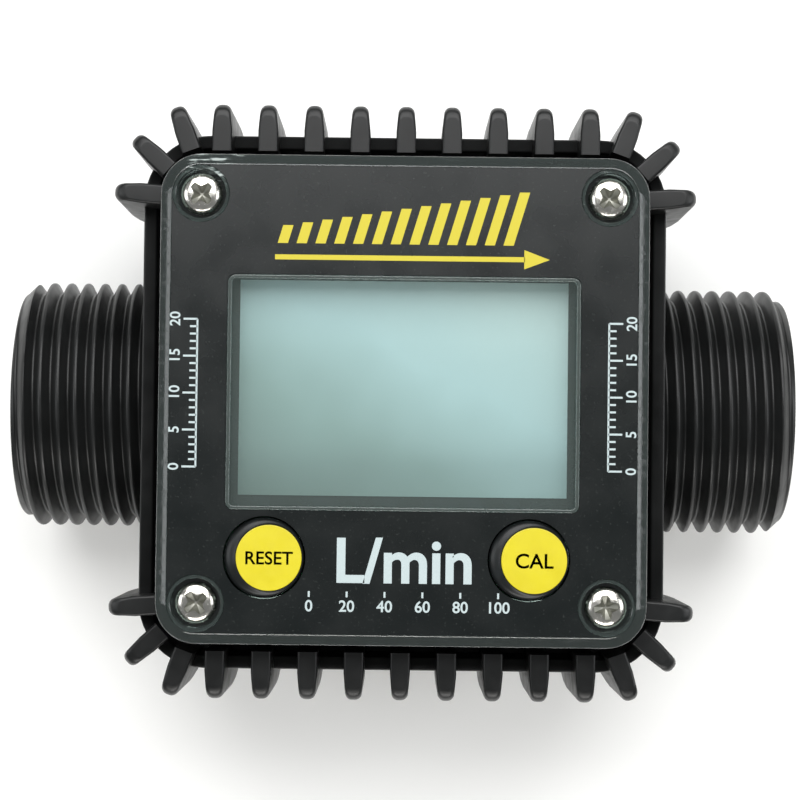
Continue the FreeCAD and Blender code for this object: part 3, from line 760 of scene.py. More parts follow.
def carved(base: bmesh.types.BMesh, tools: Iterable[bmesh.types.BMesh]) -> bmesh.types.BMesh:
    """Cut tools from a shape.

    Args:
        base: The shape, which is freed.
        tools: The tools, which are freed.

    Returns:
        The new shape.
    """
    scene = bpy.context.scene.collection
    target = bpy.data.objects.new("shape", to_mesh(base, "shape"))
    scene.objects.link(target)
    made = [target]
    for tool in tools:
        cutter = bpy.data.objects.new("tool", to_mesh(tool, "tool"))
        scene.objects.link(cutter)
        made.append(cutter)
        modifier = target.modifiers.new("tool", "BOOLEAN")
        modifier.operation = "DIFFERENCE"
        modifier.solver = "EXACT"
        modifier.object = cutter
    bpy.context.view_layer.update()
    evaluated = target.evaluated_get(bpy.context.evaluated_depsgraph_get())
    result = bmesh.new()
    result.from_mesh(evaluated.to_mesh())
    evaluated.to_mesh_clear()
    for thing in made:
        mesh = thing.data
        bpy.data.objects.remove(thing)
        bpy.data.meshes.remove(mesh)
    bmesh.ops.scale(result, vec=(1 / MM, 1 / MM, 1 / MM), verts=result.verts)
    bmesh.ops.remove_doubles(result, verts=result.verts, dist=1e-4)
    return result


def merged(parts: Iterable[bmesh.types.BMesh]) -> bmesh.types.BMesh:
    """Put several shapes into one bmesh as they are, and free them.

    Args:
        parts: The shapes.

    Returns:
        All of them as one.
    """
    whole = bmesh.new()
    for part in parts:
        mesh = bpy.data.meshes.new("part")
        part.to_mesh(mesh)
        part.free()
        whole.from_mesh(mesh)
        bpy.data.meshes.remove(mesh)
    return whole


def make_piece(
    name: str,
    bm: bmesh.types.BMesh,
    finish: Finish,
    body: Body,
    stands_for: Sequence[str] = (),
    weighted: bool = True,
    second: Finish | None = None,
) -> bpy.types.Object:
    """Turn a shape into a finished piece that rides on its body.

    Args:
        name: The piece's name.
        bm: The shape in millimetres in the row's frame, which is freed.
        finish: Its surface.
        body: What it rides on.
        stands_for: CAD nodes that it replaces.
        weighted: Whether flat faces keep flat shading beside rounded edges.
        second: The finish of the faces with material index one.

    Returns:
        The piece.
    """
    mesh = to_mesh(bm, name)
    for layer in filter(None, (finish, second)):
        mesh.materials.append(layer.build())
    mesh.polygons.foreach_set("use_smooth", [True] * len(mesh.polygons))
    mesh.set_sharp_from_angle(angle=SHARP_ANGLE)
    piece = bpy.data.objects.new(name, mesh)
    bpy.context.scene.collection.objects.link(piece)
    if weighted:
        normals = piece.modifiers.new("flat_faces", "WEIGHTED_NORMAL")
        normals.keep_sharp = True
    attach(piece, body.value)
    if stands_for:
        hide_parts(*stands_for)
    log.info("%s: %d faces on %s", name, len(mesh.polygons), body.value)
    return piece


def box_mm(node: str) -> tuple[Vector, Vector]:
    """Return a CAD node's box in millimetres."""
    low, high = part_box(node)
    return low / MM, high / MM


# ---------------------------------------------------------------- moulded body
@dataclass
class Housing:
    """The finned housing with its bowl, and the two threaded pipe ends, in millimetres.

    Attributes:
        recess: Width, height, corner radius and depth of the recess in the back.
        fin_nose: Depths behind a fin's front, and how far the tip still falls short there.
        fin_fold: How far a fin's front edge falls short of the tip, and its slope back to it.
        fin_straight: Length of a fin's straight run.
        fin_runout: Length over which it runs out into the wall.
        leaning: Tip in plan and lean in degrees of each corner fin in the first quarter.
    """

    corner_r: float = 8.5
    back_chamfer: float = 4.0
    width: float = 66.8
    height: float = 68.0
    rim_z: float = 40.5
    rim_wall: float = 1.7
    rim_slope: float = 0.5
    rim_round: float = 0.3
    bowl_depth: float = 8.5
    recess: tuple[float, float, float, float] = (42.0, 34.0, 4.0, 0.6)
    axis_z: float = 17.5
    bore_r: float = 12.5
    outlet_bore_r: float = 11.3
    shoulder_x: float = 16.5
    groove_r: float = 13.5
    groove_width: float = 1.1
    major_r: float = 16.6245
    pitch: float = 2.309
    thread_depth: float = 1.479
    mouth_r: float = 15.0
    mouth_chamfer: float = 1.8
    turn_steps: int = 90
    fin_pitch: float = 5.8
    straight_fins: int = 9
    fin_reach: float = 3.7
    fin_embed: float = 2.6
    fin_root: float = 2.5
    fin_tip: float = 2.05
    fin_edge: float = 0.34
    fin_tip_round: float = 0.85
    tip_steps: int = 5
    fin_nose: tuple[Point, ...] = ((0.6, 0.66), (1.0, 0.42), (1.6, 0.28), (2.6, 0.2))
    fin_fold: Point = (1.55, 1.9)
    fin_straight: float = 20.0
    fin_runout: float = 11.0
    leaning: tuple[tuple[float, float, float], ...] = (
        (29.2, 37.3, 20.0),
        (34.5, 33.2, 48.0),
        (37.0, 26.2, 86.0),
    )

    def __post_init__(self) -> None:
        """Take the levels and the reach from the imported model."""
        self.front_z = box_mm("meter_body")[1].z
        self.half_length = box_mm("outlet_end")[1].x

    def block(self) -> bmesh.types.BMesh:
        """Make the housing's block with its sloping rim, bowl, chamfered back and bores.

        Returns:
            The block.
        """
        bm = rounded_block(self.width, self.height, self.corner_r, 0.0, self.rim_z)
        top = max(bm.faces, key=lambda face: face.calc_center_median().z)
        outer = list(top.verts)
        bmesh.ops.inset_region(bm, faces=[top], thickness=self.rim_wall, use_even_offset=True)
        bmesh.ops.translate(bm, vec=(0, 0, -self.rim_slope), verts=outer)
        floor = bmesh.ops.extrude_discrete_faces(bm, faces=[top])["faces"]
        bmesh.ops.translate(bm, vec=(0, 0, -self.bowl_depth), verts=floor[0].verts)
        rim = self.rim_z - self.rim_slope - 0.01
        round_edges(bm, lambda e: min(v.co.z for v in e.verts) > rim, self.rim_round)
        round_edges(bm, level_edge(0.0), self.back_chamfer, 1)
        round_edges(bm, lambda e: max(v.co.z for v in e.verts) < self.back_chamfer + 0.01, 0.3, 2)
        width, height, radius, depth = self.recess
        shoulder, side = self.shoulder_x, self.width / 2 + 1
        bores = [
            (-side, 0.0),
            (-side, self.bore_r),
            (-shoulder - self.groove_width, self.bore_r),
            (-shoulder - self.groove_width, self.groove_r),
            (-shoulder, self.groove_r),
            (-shoulder, self.bore_r),
            (shoulder, self.bore_r),
            (shoulder, self.outlet_bore_r),
            (side, self.outlet_bore_r),
            (side, 0.0),
        ]
        tools = [
            rounded_block(width, height, radius, -1.0, depth),
            lathe(bores, Vector((1, 0, 0)), Vector((0, 0, self.axis_z))),
        ]
        return carved(bm, tools)

    def fin_section(self, reach: float, inset: float) -> list[Point]:
        """Return a fin's outline in plan, from the left of its root round the tip.

        Args:
            reach: How far its tip stands out from the root.
            inset: How far the outline is drawn in, where the front edge is rounded.

        Returns:
            Points in plan, in order.
        """
        taper = (self.fin_tip - self.fin_root) / self.fin_reach
        half_root = self.fin_root / 2 - inset
        half_tip = (self.fin_root + taper * reach) / 2 - inset
        tip, radius = reach - inset, self.fin_tip_round - inset * 0.6
        right = []
        for step in range(self.tip_steps + 1):
            angle = math.radians(90.0 * step / self.tip_steps)
            right.append((half_tip - radius * (1 - math.cos(angle)), tip - radius * (1 - math.sin(angle))))
        side = [(half_root, -self.fin_embed), (half_root, 0.0)] + right
        return [(-x, y) for x, y in side] + list(reversed(side))

    def fin_levels(self) -> list[tuple[float, float, float]]:
        """Lay out a fin's sections from its front to its back.

        Returns:
            Depth behind the front, reach of the tip and inset of the edge, for each section.
        """
        reach, edge = self.fin_reach, self.fin_edge
        short, slope = self.fin_fold
        levels = []
        for angle in (0.0, 30.0, 60.0, 90.0):
            turn = math.radians(angle)
            depth = edge * (1 - math.cos(turn))
            levels.append((depth, reach - short + slope * depth, edge * (1 - math.sin(turn))))
        levels += [(depth, reach - missing, 0.0) for depth, missing in self.fin_nose]
        levels.append((self.fin_straight, reach, 0.0))
        for angle in (22.5, 45.0, 67.5, 82.0):
            turn = math.radians(angle)
            depth = self.fin_straight + self.fin_runout * math.sin(turn)
            levels.append((depth, reach * math.cos(turn), 0.0))
        return levels

    def fin(self) -> bmesh.types.BMesh:
        """Make one fin, reaching along +Y from its root, as sections from its front to its back.

        Returns:
            The fin.
        """
        bm = bmesh.new()
        loop: list[bmesh.types.BMEdge] = []
        for depth, reach, inset in self.fin_levels():
            outline = [Vector((x, y, self.front_z - depth)) for x, y in self.fin_section(reach, inset)]
            verts = [bm.verts.new(point) for point in outline]
            ring = [bm.edges.new(pair) for pair in zip(verts, verts[1:] + verts[:1])]
            if loop:
                bmesh.ops.bridge_loops(bm, edges=loop + ring)
            else:
                bmesh.ops.contextual_create(bm, geom=ring)
            loop = ring
        bmesh.ops.contextual_create(bm, geom=loop)
        bmesh.ops.recalc_face_normals(bm, faces=bm.faces)
        return bm

    def fin_places(self) -> list[tuple[float, float, float]]:
        """Lay out the fins round the head.

        Returns:
            Each fin's tip in plan and the angle of its reach, clockwise from +Y.
        """
        half = self.height / 2 + self.fin_reach
        places = []
        for index in range(self.straight_fins):
            x = (index - (self.straight_fins - 1) / 2) * self.fin_pitch
            places += [(x, half, 0.0), (x, -half, 180.0)]
        for x, y, angle in self.leaning:
            places += [(x, y, angle), (-x, y, -angle), (x, -y, 180.0 - angle), (-x, -y, 180.0 + angle)]
        return places

    def fins(self) -> bmesh.types.BMesh:
        """Make every fin in its place.

        Returns:
            The fins in one shape.
        """
        placed = []
        pattern = self.fin()
        for x, y, angle in self.fin_places():
            lean = math.radians(angle)
            root = Vector((x - self.fin_reach * math.sin(lean), y - self.fin_reach * math.cos(lean), 0))
            copy = pattern.copy()
            matrix = Matrix.Translation(root) @ Matrix.Rotation(-lean, 4, "Z")
            bmesh.ops.transform(copy, matrix=matrix, verts=copy.verts)
            placed.append(copy)
        pattern.free()
        return merged(placed)

    def thread_profile(self) -> list[Point]:
        """Draw one pitch of rounded 55 degree thread.

        Returns:
            Pairs of place along the pipe and radius.
        """
        crest, root = self.major_r, self.major_r - self.thread_depth
        pitch = self.pitch
        half = [(0.0, root), (0.1, root + 0.02), (0.21, root + 0.11)]
        half += [(0.44 * pitch - 0.15, crest - 0.11), (0.44 * pitch, crest - 0.02), (0.5 * pitch, crest)]
        return half + [(pitch - along, radius) for along, radius in reversed(half[:-1])]

    def pipe_end(self, bore_r: float) -> bmesh.types.BMesh:
        """Make the +X pipe end: right-hand thread, chamfered mouth and bore.

        Args:
            bore_r: Radius inside.

        Returns:
            The pipe end.
        """
        start, end = self.width / 2 - 1.0, self.half_length
        turns = math.ceil((end - start) / self.pitch) + 2
        origin = Vector((start - self.pitch, 0, self.axis_z))
        bm = bmesh.new()
        profile = self.thread_profile()
        verts = [bm.verts.new(origin + Vector((along, 0, radius))) for along, radius in profile]
        edges = [bm.edges.new(pair) for pair in zip(verts, verts[1:])]
        bmesh.ops.spin(
            bm,
            geom=verts + edges,
            cent=origin,
            axis=(1, 0, 0),
            dvec=(self.pitch / self.turn_steps, 0, 0),
            angle=math.tau * turns,
            steps=self.turn_steps * turns,
            use_merge=False,
            use_duplicate=False,
        )
        bmesh.ops.remove_doubles(bm, verts=bm.verts, dist=1e-3)
        for x, outwards in ((start, -1), (end - self.mouth_chamfer, 0), (end, 1)):
            bmesh.ops.bisect_plane(
                bm,
                geom=bm.verts[:] + bm.edges[:] + bm.faces[:],
                plane_co=(x, 0, 0),
                plane_no=(outwards or 1, 0, 0),
                clear_outer=bool(outwards),
                dist=1e-4,
            )
        for vert in bm.verts:
            self.keep_in_mouth(vert)
        self.close_pipe(bm, end, [(end, bore_r + 0.35), (end - 0.35, bore_r)])
        inner = [e for e in bm.edges if e.is_boundary]
        made = bmesh.ops.extrude_edge_only(bm, edges=[e for e in inner if self.edge_x(e) > end - 1])
        self.set_ring(made["geom"], start, bore_r)
        bmesh.ops.recalc_face_normals(bm, faces=bm.faces)
        return bm

    def keep_in_mouth(self, vert: bmesh.types.BMVert) -> None:
        """Pull a point of the thread in to the mouth's chamfer.

        Args:
            vert: The point.
        """
        depth = self.half_length - vert.co.x
        if depth >= self.mouth_chamfer:
            return
        limit = self.mouth_r + (self.major_r - self.mouth_r) * max(depth, 0.0) / self.mouth_chamfer
        offset = Vector((0, vert.co.y, vert.co.z - self.axis_z))
        if offset.length > limit:
            offset *= limit / offset.length
            vert.co = Vector((vert.co.x, offset.y, self.axis_z + offset.z))

    def edge_x(self, edge: bmesh.types.BMEdge) -> float:
        """Return the X of an edge's middle."""
        return (edge.verts[0].co.x + edge.verts[1].co.x) / 2

    def set_ring(self, geometry: Sequence[object], x: float, radius: float) -> None:
        """Move the points of a new ring to a place along the pipe and a radius.

        Args:
            geometry: What an extrusion made.
            x: The place along the pipe.
            radius: The ring's new radius.
        """
        for vert in (g for g in geometry if isinstance(g, bmesh.types.BMVert)):
            offset = Vector((0, vert.co.y, vert.co.z - self.axis_z)).normalized() * radius
            vert.co = Vector((x, offset.y, self.axis_z + offset.z))

    def close_pipe(self, bm: bmesh.types.BMesh, end: float, rings: Sequence[Point]) -> None:
        """Carry the mouth's edge inwards over a list of rings.

        Args:
            bm: The pipe end.
            end: Where the mouth is.
            rings: Pairs of place along the pipe and radius.
        """
        for x, radius in rings:
            open_edges = [e for e in bm.edges if e.is_boundary and self.edge_x(e) > end - 1]
            made = bmesh.ops.extrude_edge_only(bm, edges=open_edges)
            self.set_ring(made["geom"], x, radius)

    def dress(self) -> None:
        """Make the housing's pieces."""
        make_piece("housing_block", self.block(), BODY_NYLON, Body.METER, ["meter_body"])
        make_piece("housing_fins", self.fins(), BODY_NYLON, Body.METER)
        outlet = self.pipe_end(self.outlet_bore_r)
        make_piece("outlet_pipe_end", outlet, BODY_NYLON, Body.METER, ["outlet_end"], weighted=False)
        inlet = self.pipe_end(self.bore_r)
        bmesh.ops.rotate(inlet, cent=(0, 0, 0), matrix=Matrix.Rotation(math.pi, 3, "Z"), verts=inlet.verts)
        make_piece("inlet_pipe_end", inlet, BODY_NYLON, Body.METER, ["inlet_end"], weighted=False)


# ---------------------------------------------------------------- display head
@dataclass
class DisplayHead:
    """The clear cover, its printed film with generic marks, and the four screws, in millimetres."""

    corner_r: float = 5.0
    bevel_width: float = 1.35
    bevel_height: float = 1.1
    label_margin: float = 0.1
    label_depth: float = 0.25
    window: tuple[float, float, float] = (43.1, 28.7, 1.0)
    window_y: float = 0.8
    frame_width: float = 0.5
    pane_edge: float = 0.17
    counterbore_r: float = 3.05
    counterbore_depth: float = 2.0
    screw_hole_r: float = 1.7
    label_ring_r: float = 3.5
    boot_hole_r: float = 5.05
    screw_angles: tuple[float, ...] = (45.0, 44.0, 38.0, 8.0)
    screw_head_r: float = 2.55
    screw_head_height: float = 1.75
    wing_reach: float = 1.5
    wing_width: float = 0.95
    ink_height: float = 0.012
    unit_height: float = 5.3
    unit_place: Point = (0.3, -19.5)
    unit_weight: float = 0.03
    bars: int = 13
    bars_foot: Point = (-14.6, 19.0)
    bar_spacing: float = 2.35
    bar_width: float = 1.25
    bar_low: float = 2.2
    bar_rise: float = 0.36
    bar_lean: float = 0.3
    arrow_length: float = 30.5
    arrow_width: float = 0.62
    arrow_x: float = -0.6
    arrow_y: float = 17.3
    arrow_head_r: float = 1.6
    arrow_head_stretch: tuple[float, float, float] = (1.3, 0.85, 1.0)
    arrow_head_x: float = 15.6
    side_scales: tuple[tuple[float, int], ...] = ((-25.2, -1), (25.0, 1))
    scale_line: float = 0.22
    ticks: int = 20
    ticks_low: float = -8.4
    tick_step: float = 0.9
    tick_width: float = 0.24
    short_tick: float = 0.9
    long_tick: float = 1.7
    numbered_tick: int = 5
    side_number_height: float = 1.25
    side_number_offset: float = 2.75
    level_numbers: int = 6
    level_step: int = 20
    level_spacing: float = 4.6
    level_x: float = -11.2
    level_y: float = -25.1
    level_height: float = 1.35
    level_tick: float = 0.7
    level_tick_y: float = -23.7

    def __post_init__(self) -> None:
        """Take the cover's, screws' and boots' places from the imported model."""
        low, high = box_mm("front_cover")
        self.size = high.x - low.x
        self.bottom, self.top = low.z, high.z
        screws_high = box_mm("cover_screws")[1]
        self.screw_half = screws_high.x - self.screw_head_r
        self.boot_places = []
        for name in ("reset_boot", "cal_boot"):
            boot_low, boot_high = box_mm(name)
            self.boot_places.append(((boot_low.x + boot_high.x) / 2, (boot_low.y + boot_high.y) / 2))

    def screw_places(self) -> list[tuple[float, float, float]]:
        """Return each screw's place and the angle of its cross."""
        half = self.screw_half
        corners = ((-half, half), (half, half), (-half, -half), (half, -half))
        return [(x, y, angle) for (x, y), angle in zip(corners, self.screw_angles)]

    def upright(self, radius: float, low: float, high: float, place: Point) -> bmesh.types.BMesh:
        """Make an upright cylinder."""
        profile = [(low, 0.0), (low, radius), (high, radius), (high, 0.0)]
        return lathe(profile, Vector((0, 0, 1)), Vector((place[0], place[1], 0)), 48)

    def cover(self) -> bmesh.types.BMesh:
        """Make the bevelled cover with its label recess, counterbores, holes and window opening.

        Returns:
            The cover.
        """
        bm = rounded_block(self.size, self.size, self.corner_r, self.bottom, self.top - self.bevel_height)
        top = max(bm.faces, key=lambda face: face.calc_center_median().z)
        bmesh.ops.inset_region(
            bm, faces=[top], thickness=self.bevel_width, depth=self.bevel_height, use_even_offset=True
        )
        round_edges(bm, lambda e: min(v.co.z for v in e.verts) > self.bottom + 0.1, 0.16, 2)
        side = self.size - 2 * (self.bevel_width + self.label_margin)
        recess_z = self.top - self.label_depth
        corner = self.corner_r - self.bevel_width - self.label_margin
        width, height, radius = self.window
        tools = [
            rounded_block(side, side, corner, recess_z, self.top + 1),
            rounded_block(width, height, radius, self.bottom - 1, self.top + 1, (0.0, self.window_y)),
        ]
        step = self.top - self.counterbore_depth
        for x, y, _ in self.screw_places():
            tools.append(self.upright(self.counterbore_r, step, self.top + 1, (x, y)))
            tools.append(self.upright(self.screw_hole_r, self.bottom - 1, self.top + 1, (x, y)))
        for place in self.boot_places:
            tools.append(self.upright(self.boot_hole_r, self.bottom - 1, self.top + 1, place))
        return carved(bm, tools)

    def pane(self) -> bmesh.types.BMesh:
        """Make the window's clear pane inside its frame.

        Returns:
            The pane.
        """
        width, height, radius = self.window
        inset = self.frame_width
        size = (width - 2 * inset, height - 2 * inset)
        return rounded_block(*size, radius - inset, self.bottom, self.top - 0.02, (0.0, self.window_y))

    def window_frame(self) -> bmesh.types.BMesh:
        """Make the narrow polished bevel that runs round the raised window.

        Returns:
            The frame.
        """
        width, height, radius = self.window
        low = self.top - self.label_depth
        centre = (0.0, self.window_y)
        bm = rounded_block(width + 0.02, height + 0.02, radius, low, self.top, centre)
        inside = (width - 2 * self.frame_width, height - 2 * self.frame_width)
        hole = rounded_block(*inside, radius - self.frame_width, low - 1, self.top + 1, centre)
        frame = carved(bm, [hole])
        round_edges(frame, level_edge(self.top), self.pane_edge, 3)
        return frame

    def screw_ring(self, place: Point) -> bmesh.types.BMesh:
        """Make the cover's raised ring round a screw.

        Args:
            place: The screw's place in plan.

        Returns:
            The ring.
        """
        low, high = self.top - self.label_depth - 0.02, self.top
        profile = [
            (low, self.counterbore_r + 0.02),
            (high - 0.08, self.counterbore_r + 0.02),
            (high, self.counterbore_r + 0.1),
            (high, self.label_ring_r - 0.1),
            (high - 0.08, self.label_ring_r - 0.02),
            (low, self.label_ring_r - 0.02),
            (low, self.counterbore_r + 0.02),
        ]
        return lathe(profile, Vector((0, 0, 1)), Vector((place[0], place[1], 0)), 64)

    def label(self) -> bmesh.types.BMesh:
        """Make the printed film with its window, screw and button holes.

        Returns:
            The film.
        """
        low, high = box_mm("face_label")
        side = high.x - low.x
        corner = self.corner_r - self.bevel_width - self.label_margin
        bm = rounded_block(side, side, corner, low.z + 0.01, high.z)
        width, height, radius = self.window
        centre = (0.0, self.window_y)
        tools = [rounded_block(width + 0.1, height + 0.1, radius, low.z - 1, high.z + 1, centre)]
        for x, y, _ in self.screw_places():
            tools.append(self.upright(self.label_ring_r + 0.05, low.z - 1, high.z + 1, (x, y)))
        for place in self.boot_places:
            tools.append(self.upright(self.boot_hole_r, low.z - 1, high.z + 1, place))
        return carved(bm, tools)

    def screw(self, x: float, y: float, angle: float) -> bmesh.types.BMesh:
        """Make one pan-head screw with a tapered cross recess.

        Args:
            x: Place along X.
            y: Place along Y.
            angle: Angle of the cross in degrees.

        Returns:
            The screw's head and shank.
        """
        bottom = self.top - self.counterbore_depth
        top = bottom + self.screw_head_height
        r = self.screw_head_r
        foot = box_mm("cover_screws")[0].z
        profile = [
            (foot, 0.0),
            (foot, 1.5),
            (bottom, 1.5),
            (bottom, r - 0.08),
            (bottom + 0.1, r),
            (bottom + 0.75, r),
            (bottom + 1.15, r * 0.955),
            (bottom + 1.45, r * 0.84),
            (top - 0.09, r * 0.62),
            (top - 0.02, r * 0.32),
            (top, 0.0),
        ]
        origin = Vector((x, y, 0))
        head = lathe(profile, Vector((0, 0, 1)), origin, 56)
        whole = carved(head, [self.cross(top, origin, angle)])
        # The cross recess's faces take the second finish, a darker grey painted there as shade.
        for face in whole.faces:
            offset = face.calc_center_median() - origin
            in_cross = offset.z < top - 0.5 or abs(face.normal.z) < 0.75
            if offset.xy.length < self.wing_reach * 1.1 and in_cross:
                face.material_index = int(offset.z > bottom)
        return whole

    def cross(self, top: float, origin: Vector, angle: float) -> bmesh.types.BMesh:
        """Make the tool that cuts a screw's cross recess, tapering to its bottom.

        Args:
            top: Height of the screw's crown.
            origin: The screw's axis in plan.
            angle: Angle of the cross in degrees.

        Returns:
            The tool.
        """
        reach, half = self.wing_reach, self.wing_width / 2
        wing = [
            (reach, -half * 0.8),
            (reach + 0.05, 0.0),
            (reach, half * 0.8),
            (reach * 0.72, half),
            (0.68, 0.62),
            (0.62, 0.68),
        ]
        outline = []
        for quarter in range(4):
            turn = Matrix.Rotation(math.radians(angle + 90 * quarter), 3, "Z")
            outline += [turn @ Vector((x, y, 0)) for x, y in wing]
        bm = bmesh.new()
        loop: list[bmesh.types.BMEdge] = []
        for height, share in ((top + 0.3, 1.06), (top - 0.35, 0.97), (top - 1.05, 0.5), (top - 1.3, 0.15)):
            points = [origin + point * share + Vector((0, 0, height)) for point in outline]
            verts = [bm.verts.new(point) for point in points]
            ring = [bm.edges.new(pair) for pair in zip(verts, verts[1:] + verts[:1])]
            if loop:
                bmesh.ops.bridge_loops(bm, edges=loop + ring)
            else:
                bmesh.ops.contextual_create(bm, geom=ring)
            loop = ring
        bmesh.ops.contextual_create(bm, geom=loop)
        bmesh.ops.triangulate(bm, faces=[face for face in bm.faces if len(face.verts) > 4])
        bmesh.ops.recalc_face_normals(bm, faces=bm.faces)
        return bm

    def text(
        self, words: str, size: float, place: Point, turn: Turn = Turn.LEVEL, weight: float = 0.022
    ) -> bmesh.types.BMesh:
        """Make a line of print as thin raised ink.

        Args:
            words: What it says.
            size: Height of the capitals, in millimetres.
            place: Its middle in plan.
            turn: Which way it runs.
            weight: How far the strokes are thickened, as a share of the size.

        Returns:
            The line of print.
        """
        curve = bpy.data.curves.new("print", "FONT")
        curve.body = words
        curve.size = size / 0.7
        curve.align_x = "CENTER"
        curve.offset = weight * size
        curve.extrude = self.ink_height
        curve.resolution_u = 6
        holder = bpy.data.objects.new("print", curve)
        mesh = bpy.data.meshes.new_from_object(holder)
        bm = bmesh.new()
        bm.from_mesh(mesh)
        bpy.data.objects.remove(holder)
        bpy.data.curves.remove(curve)
        bpy.data.meshes.remove(mesh)
        bmesh.ops.translate(bm, vec=(0, -size / 2, 0), verts=bm.verts)
        turned = Matrix.Rotation(math.radians(turn.value), 3, "Z")
        bmesh.ops.rotate(bm, cent=(0, 0, 0), matrix=turned, verts=bm.verts)
        bmesh.ops.translate(bm, vec=(place[0], place[1], self.top), verts=bm.verts)
        return bm

    def bar(self, width: float, height: float, place: Point, lean: float = 0.0) -> bmesh.types.BMesh:
        """Make a flat printed bar.

        Args:
            width: Its width.
            height: Its height.
            place: Its middle in plan.
            lean: How far its top leans to the right.

        Returns:
            The bar.
        """
        bm = bmesh.new()
        bmesh.ops.create_cube(bm, size=1.0)
        bmesh.ops.scale(bm, vec=(width, height, 2 * self.ink_height), verts=bm.verts)
        for vert in bm.verts:
            vert.co.x += lean * (vert.co.y / height)
        bmesh.ops.translate(bm, vec=(place[0], place[1], self.top), verts=bm.verts)
        return bm

    def motif(self) -> bmesh.types.BMesh:
        """Make the generic yellow mark: rising slanted bars over a long flow arrow.

        Returns:
            The mark.
        """
        parts = []
        first_x, foot_y = self.bars_foot
        for index in range(self.bars):
            height = self.bar_low + self.bar_rise * index
            place = (first_x + self.bar_spacing * index, foot_y + height / 2)
            parts.append(self.bar(self.bar_width, height, place, self.bar_lean * height))
        parts.append(self.bar(self.arrow_length, self.arrow_width, (self.arrow_x, self.arrow_y)))
        head = bmesh.new()
        radius = self.arrow_head_r
        bmesh.ops.create_cone(
            head, cap_ends=True, segments=3, radius1=radius, radius2=radius, depth=2 * self.ink_height
        )
        turned = Matrix.Rotation(-math.pi / 2, 3, "Z")
        bmesh.ops.rotate(head, cent=(0, 0, 0), matrix=turned, verts=head.verts)
        bmesh.ops.scale(head, vec=self.arrow_head_stretch, verts=head.verts)
        bmesh.ops.translate(head, vec=(self.arrow_head_x, self.arrow_y, self.top), verts=head.verts)
        return merged(parts + [head])

    def side_scale(self, x: float, outwards: int) -> bmesh.types.BMesh:
        """Make the tick scale beside the window.

        Args:
            x: Place of the ticks' foot.
            outwards: One for ticks that point to the right, minus one to the left.

        Returns:
            The scale.
        """
        low, step = self.ticks_low, self.tick_step
        height = step * self.ticks
        parts = [self.bar(self.scale_line, height, (x, low + height / 2))]
        for index in range(self.ticks + 1):
            numbered = index % self.numbered_tick == 0
            length = self.long_tick if numbered else self.short_tick
            y = low + step * index
            parts.append(self.bar(length, self.tick_width, (x + outwards * length / 2, y)))
            if numbered:
                place = (x + outwards * self.side_number_offset, y)
                parts.append(self.text(str(index), self.side_number_height, place, Turn.UPWARDS))
        return merged(parts)

    def number_scale(self) -> bmesh.types.BMesh:
        """Make the small level scale under the unit.

        Returns:
            The scale.
        """
        parts = []
        for index in range(self.level_numbers):
            x = self.level_x + self.level_spacing * index
            parts.append(self.text(str(self.level_step * index), self.level_height, (x, self.level_y)))
            parts.append(self.bar(self.tick_width, self.level_tick, (x, self.level_tick_y)))
        return merged(parts)

    def dress(self) -> None:
        """Make the head's pieces."""
        cover = self.cover()
        rings = [self.screw_ring((x, y)) for x, y, _ in self.screw_places()]
        whole = merged([cover] + rings)
        make_piece("clear_cover", whole, COVER_CLEAR, Body.METER, ["front_cover"])
        make_piece("clear_window", self.pane(), PANE_CLEAR, Body.METER)
        make_piece("window_frame", self.window_frame(), FRAME_CLEAR, Body.METER)
        make_piece("face_film", self.label(), FACE_FILM, Body.METER, ["face_label"])
        screws = merged([self.screw(x, y, angle) for x, y, angle in self.screw_places()])
        make_piece(
            "pan_head_screws", screws, SCREW_NICKEL, Body.METER, ["cover_screws"], second=CROSS_PAINTED_SHADE
        )
        unit = self.text("L/min", self.unit_height, self.unit_place, weight=self.unit_weight)
        scales = [self.side_scale(x, outwards) for x, outwards in self.side_scales]
        marks = merged([unit, self.number_scale()] + scales)
        make_piece("white_print", marks, WHITE_INK, Body.METER, weighted=False)
        make_piece("yellow_print", self.motif(), YELLOW_INK, Body.METER, weighted=False)


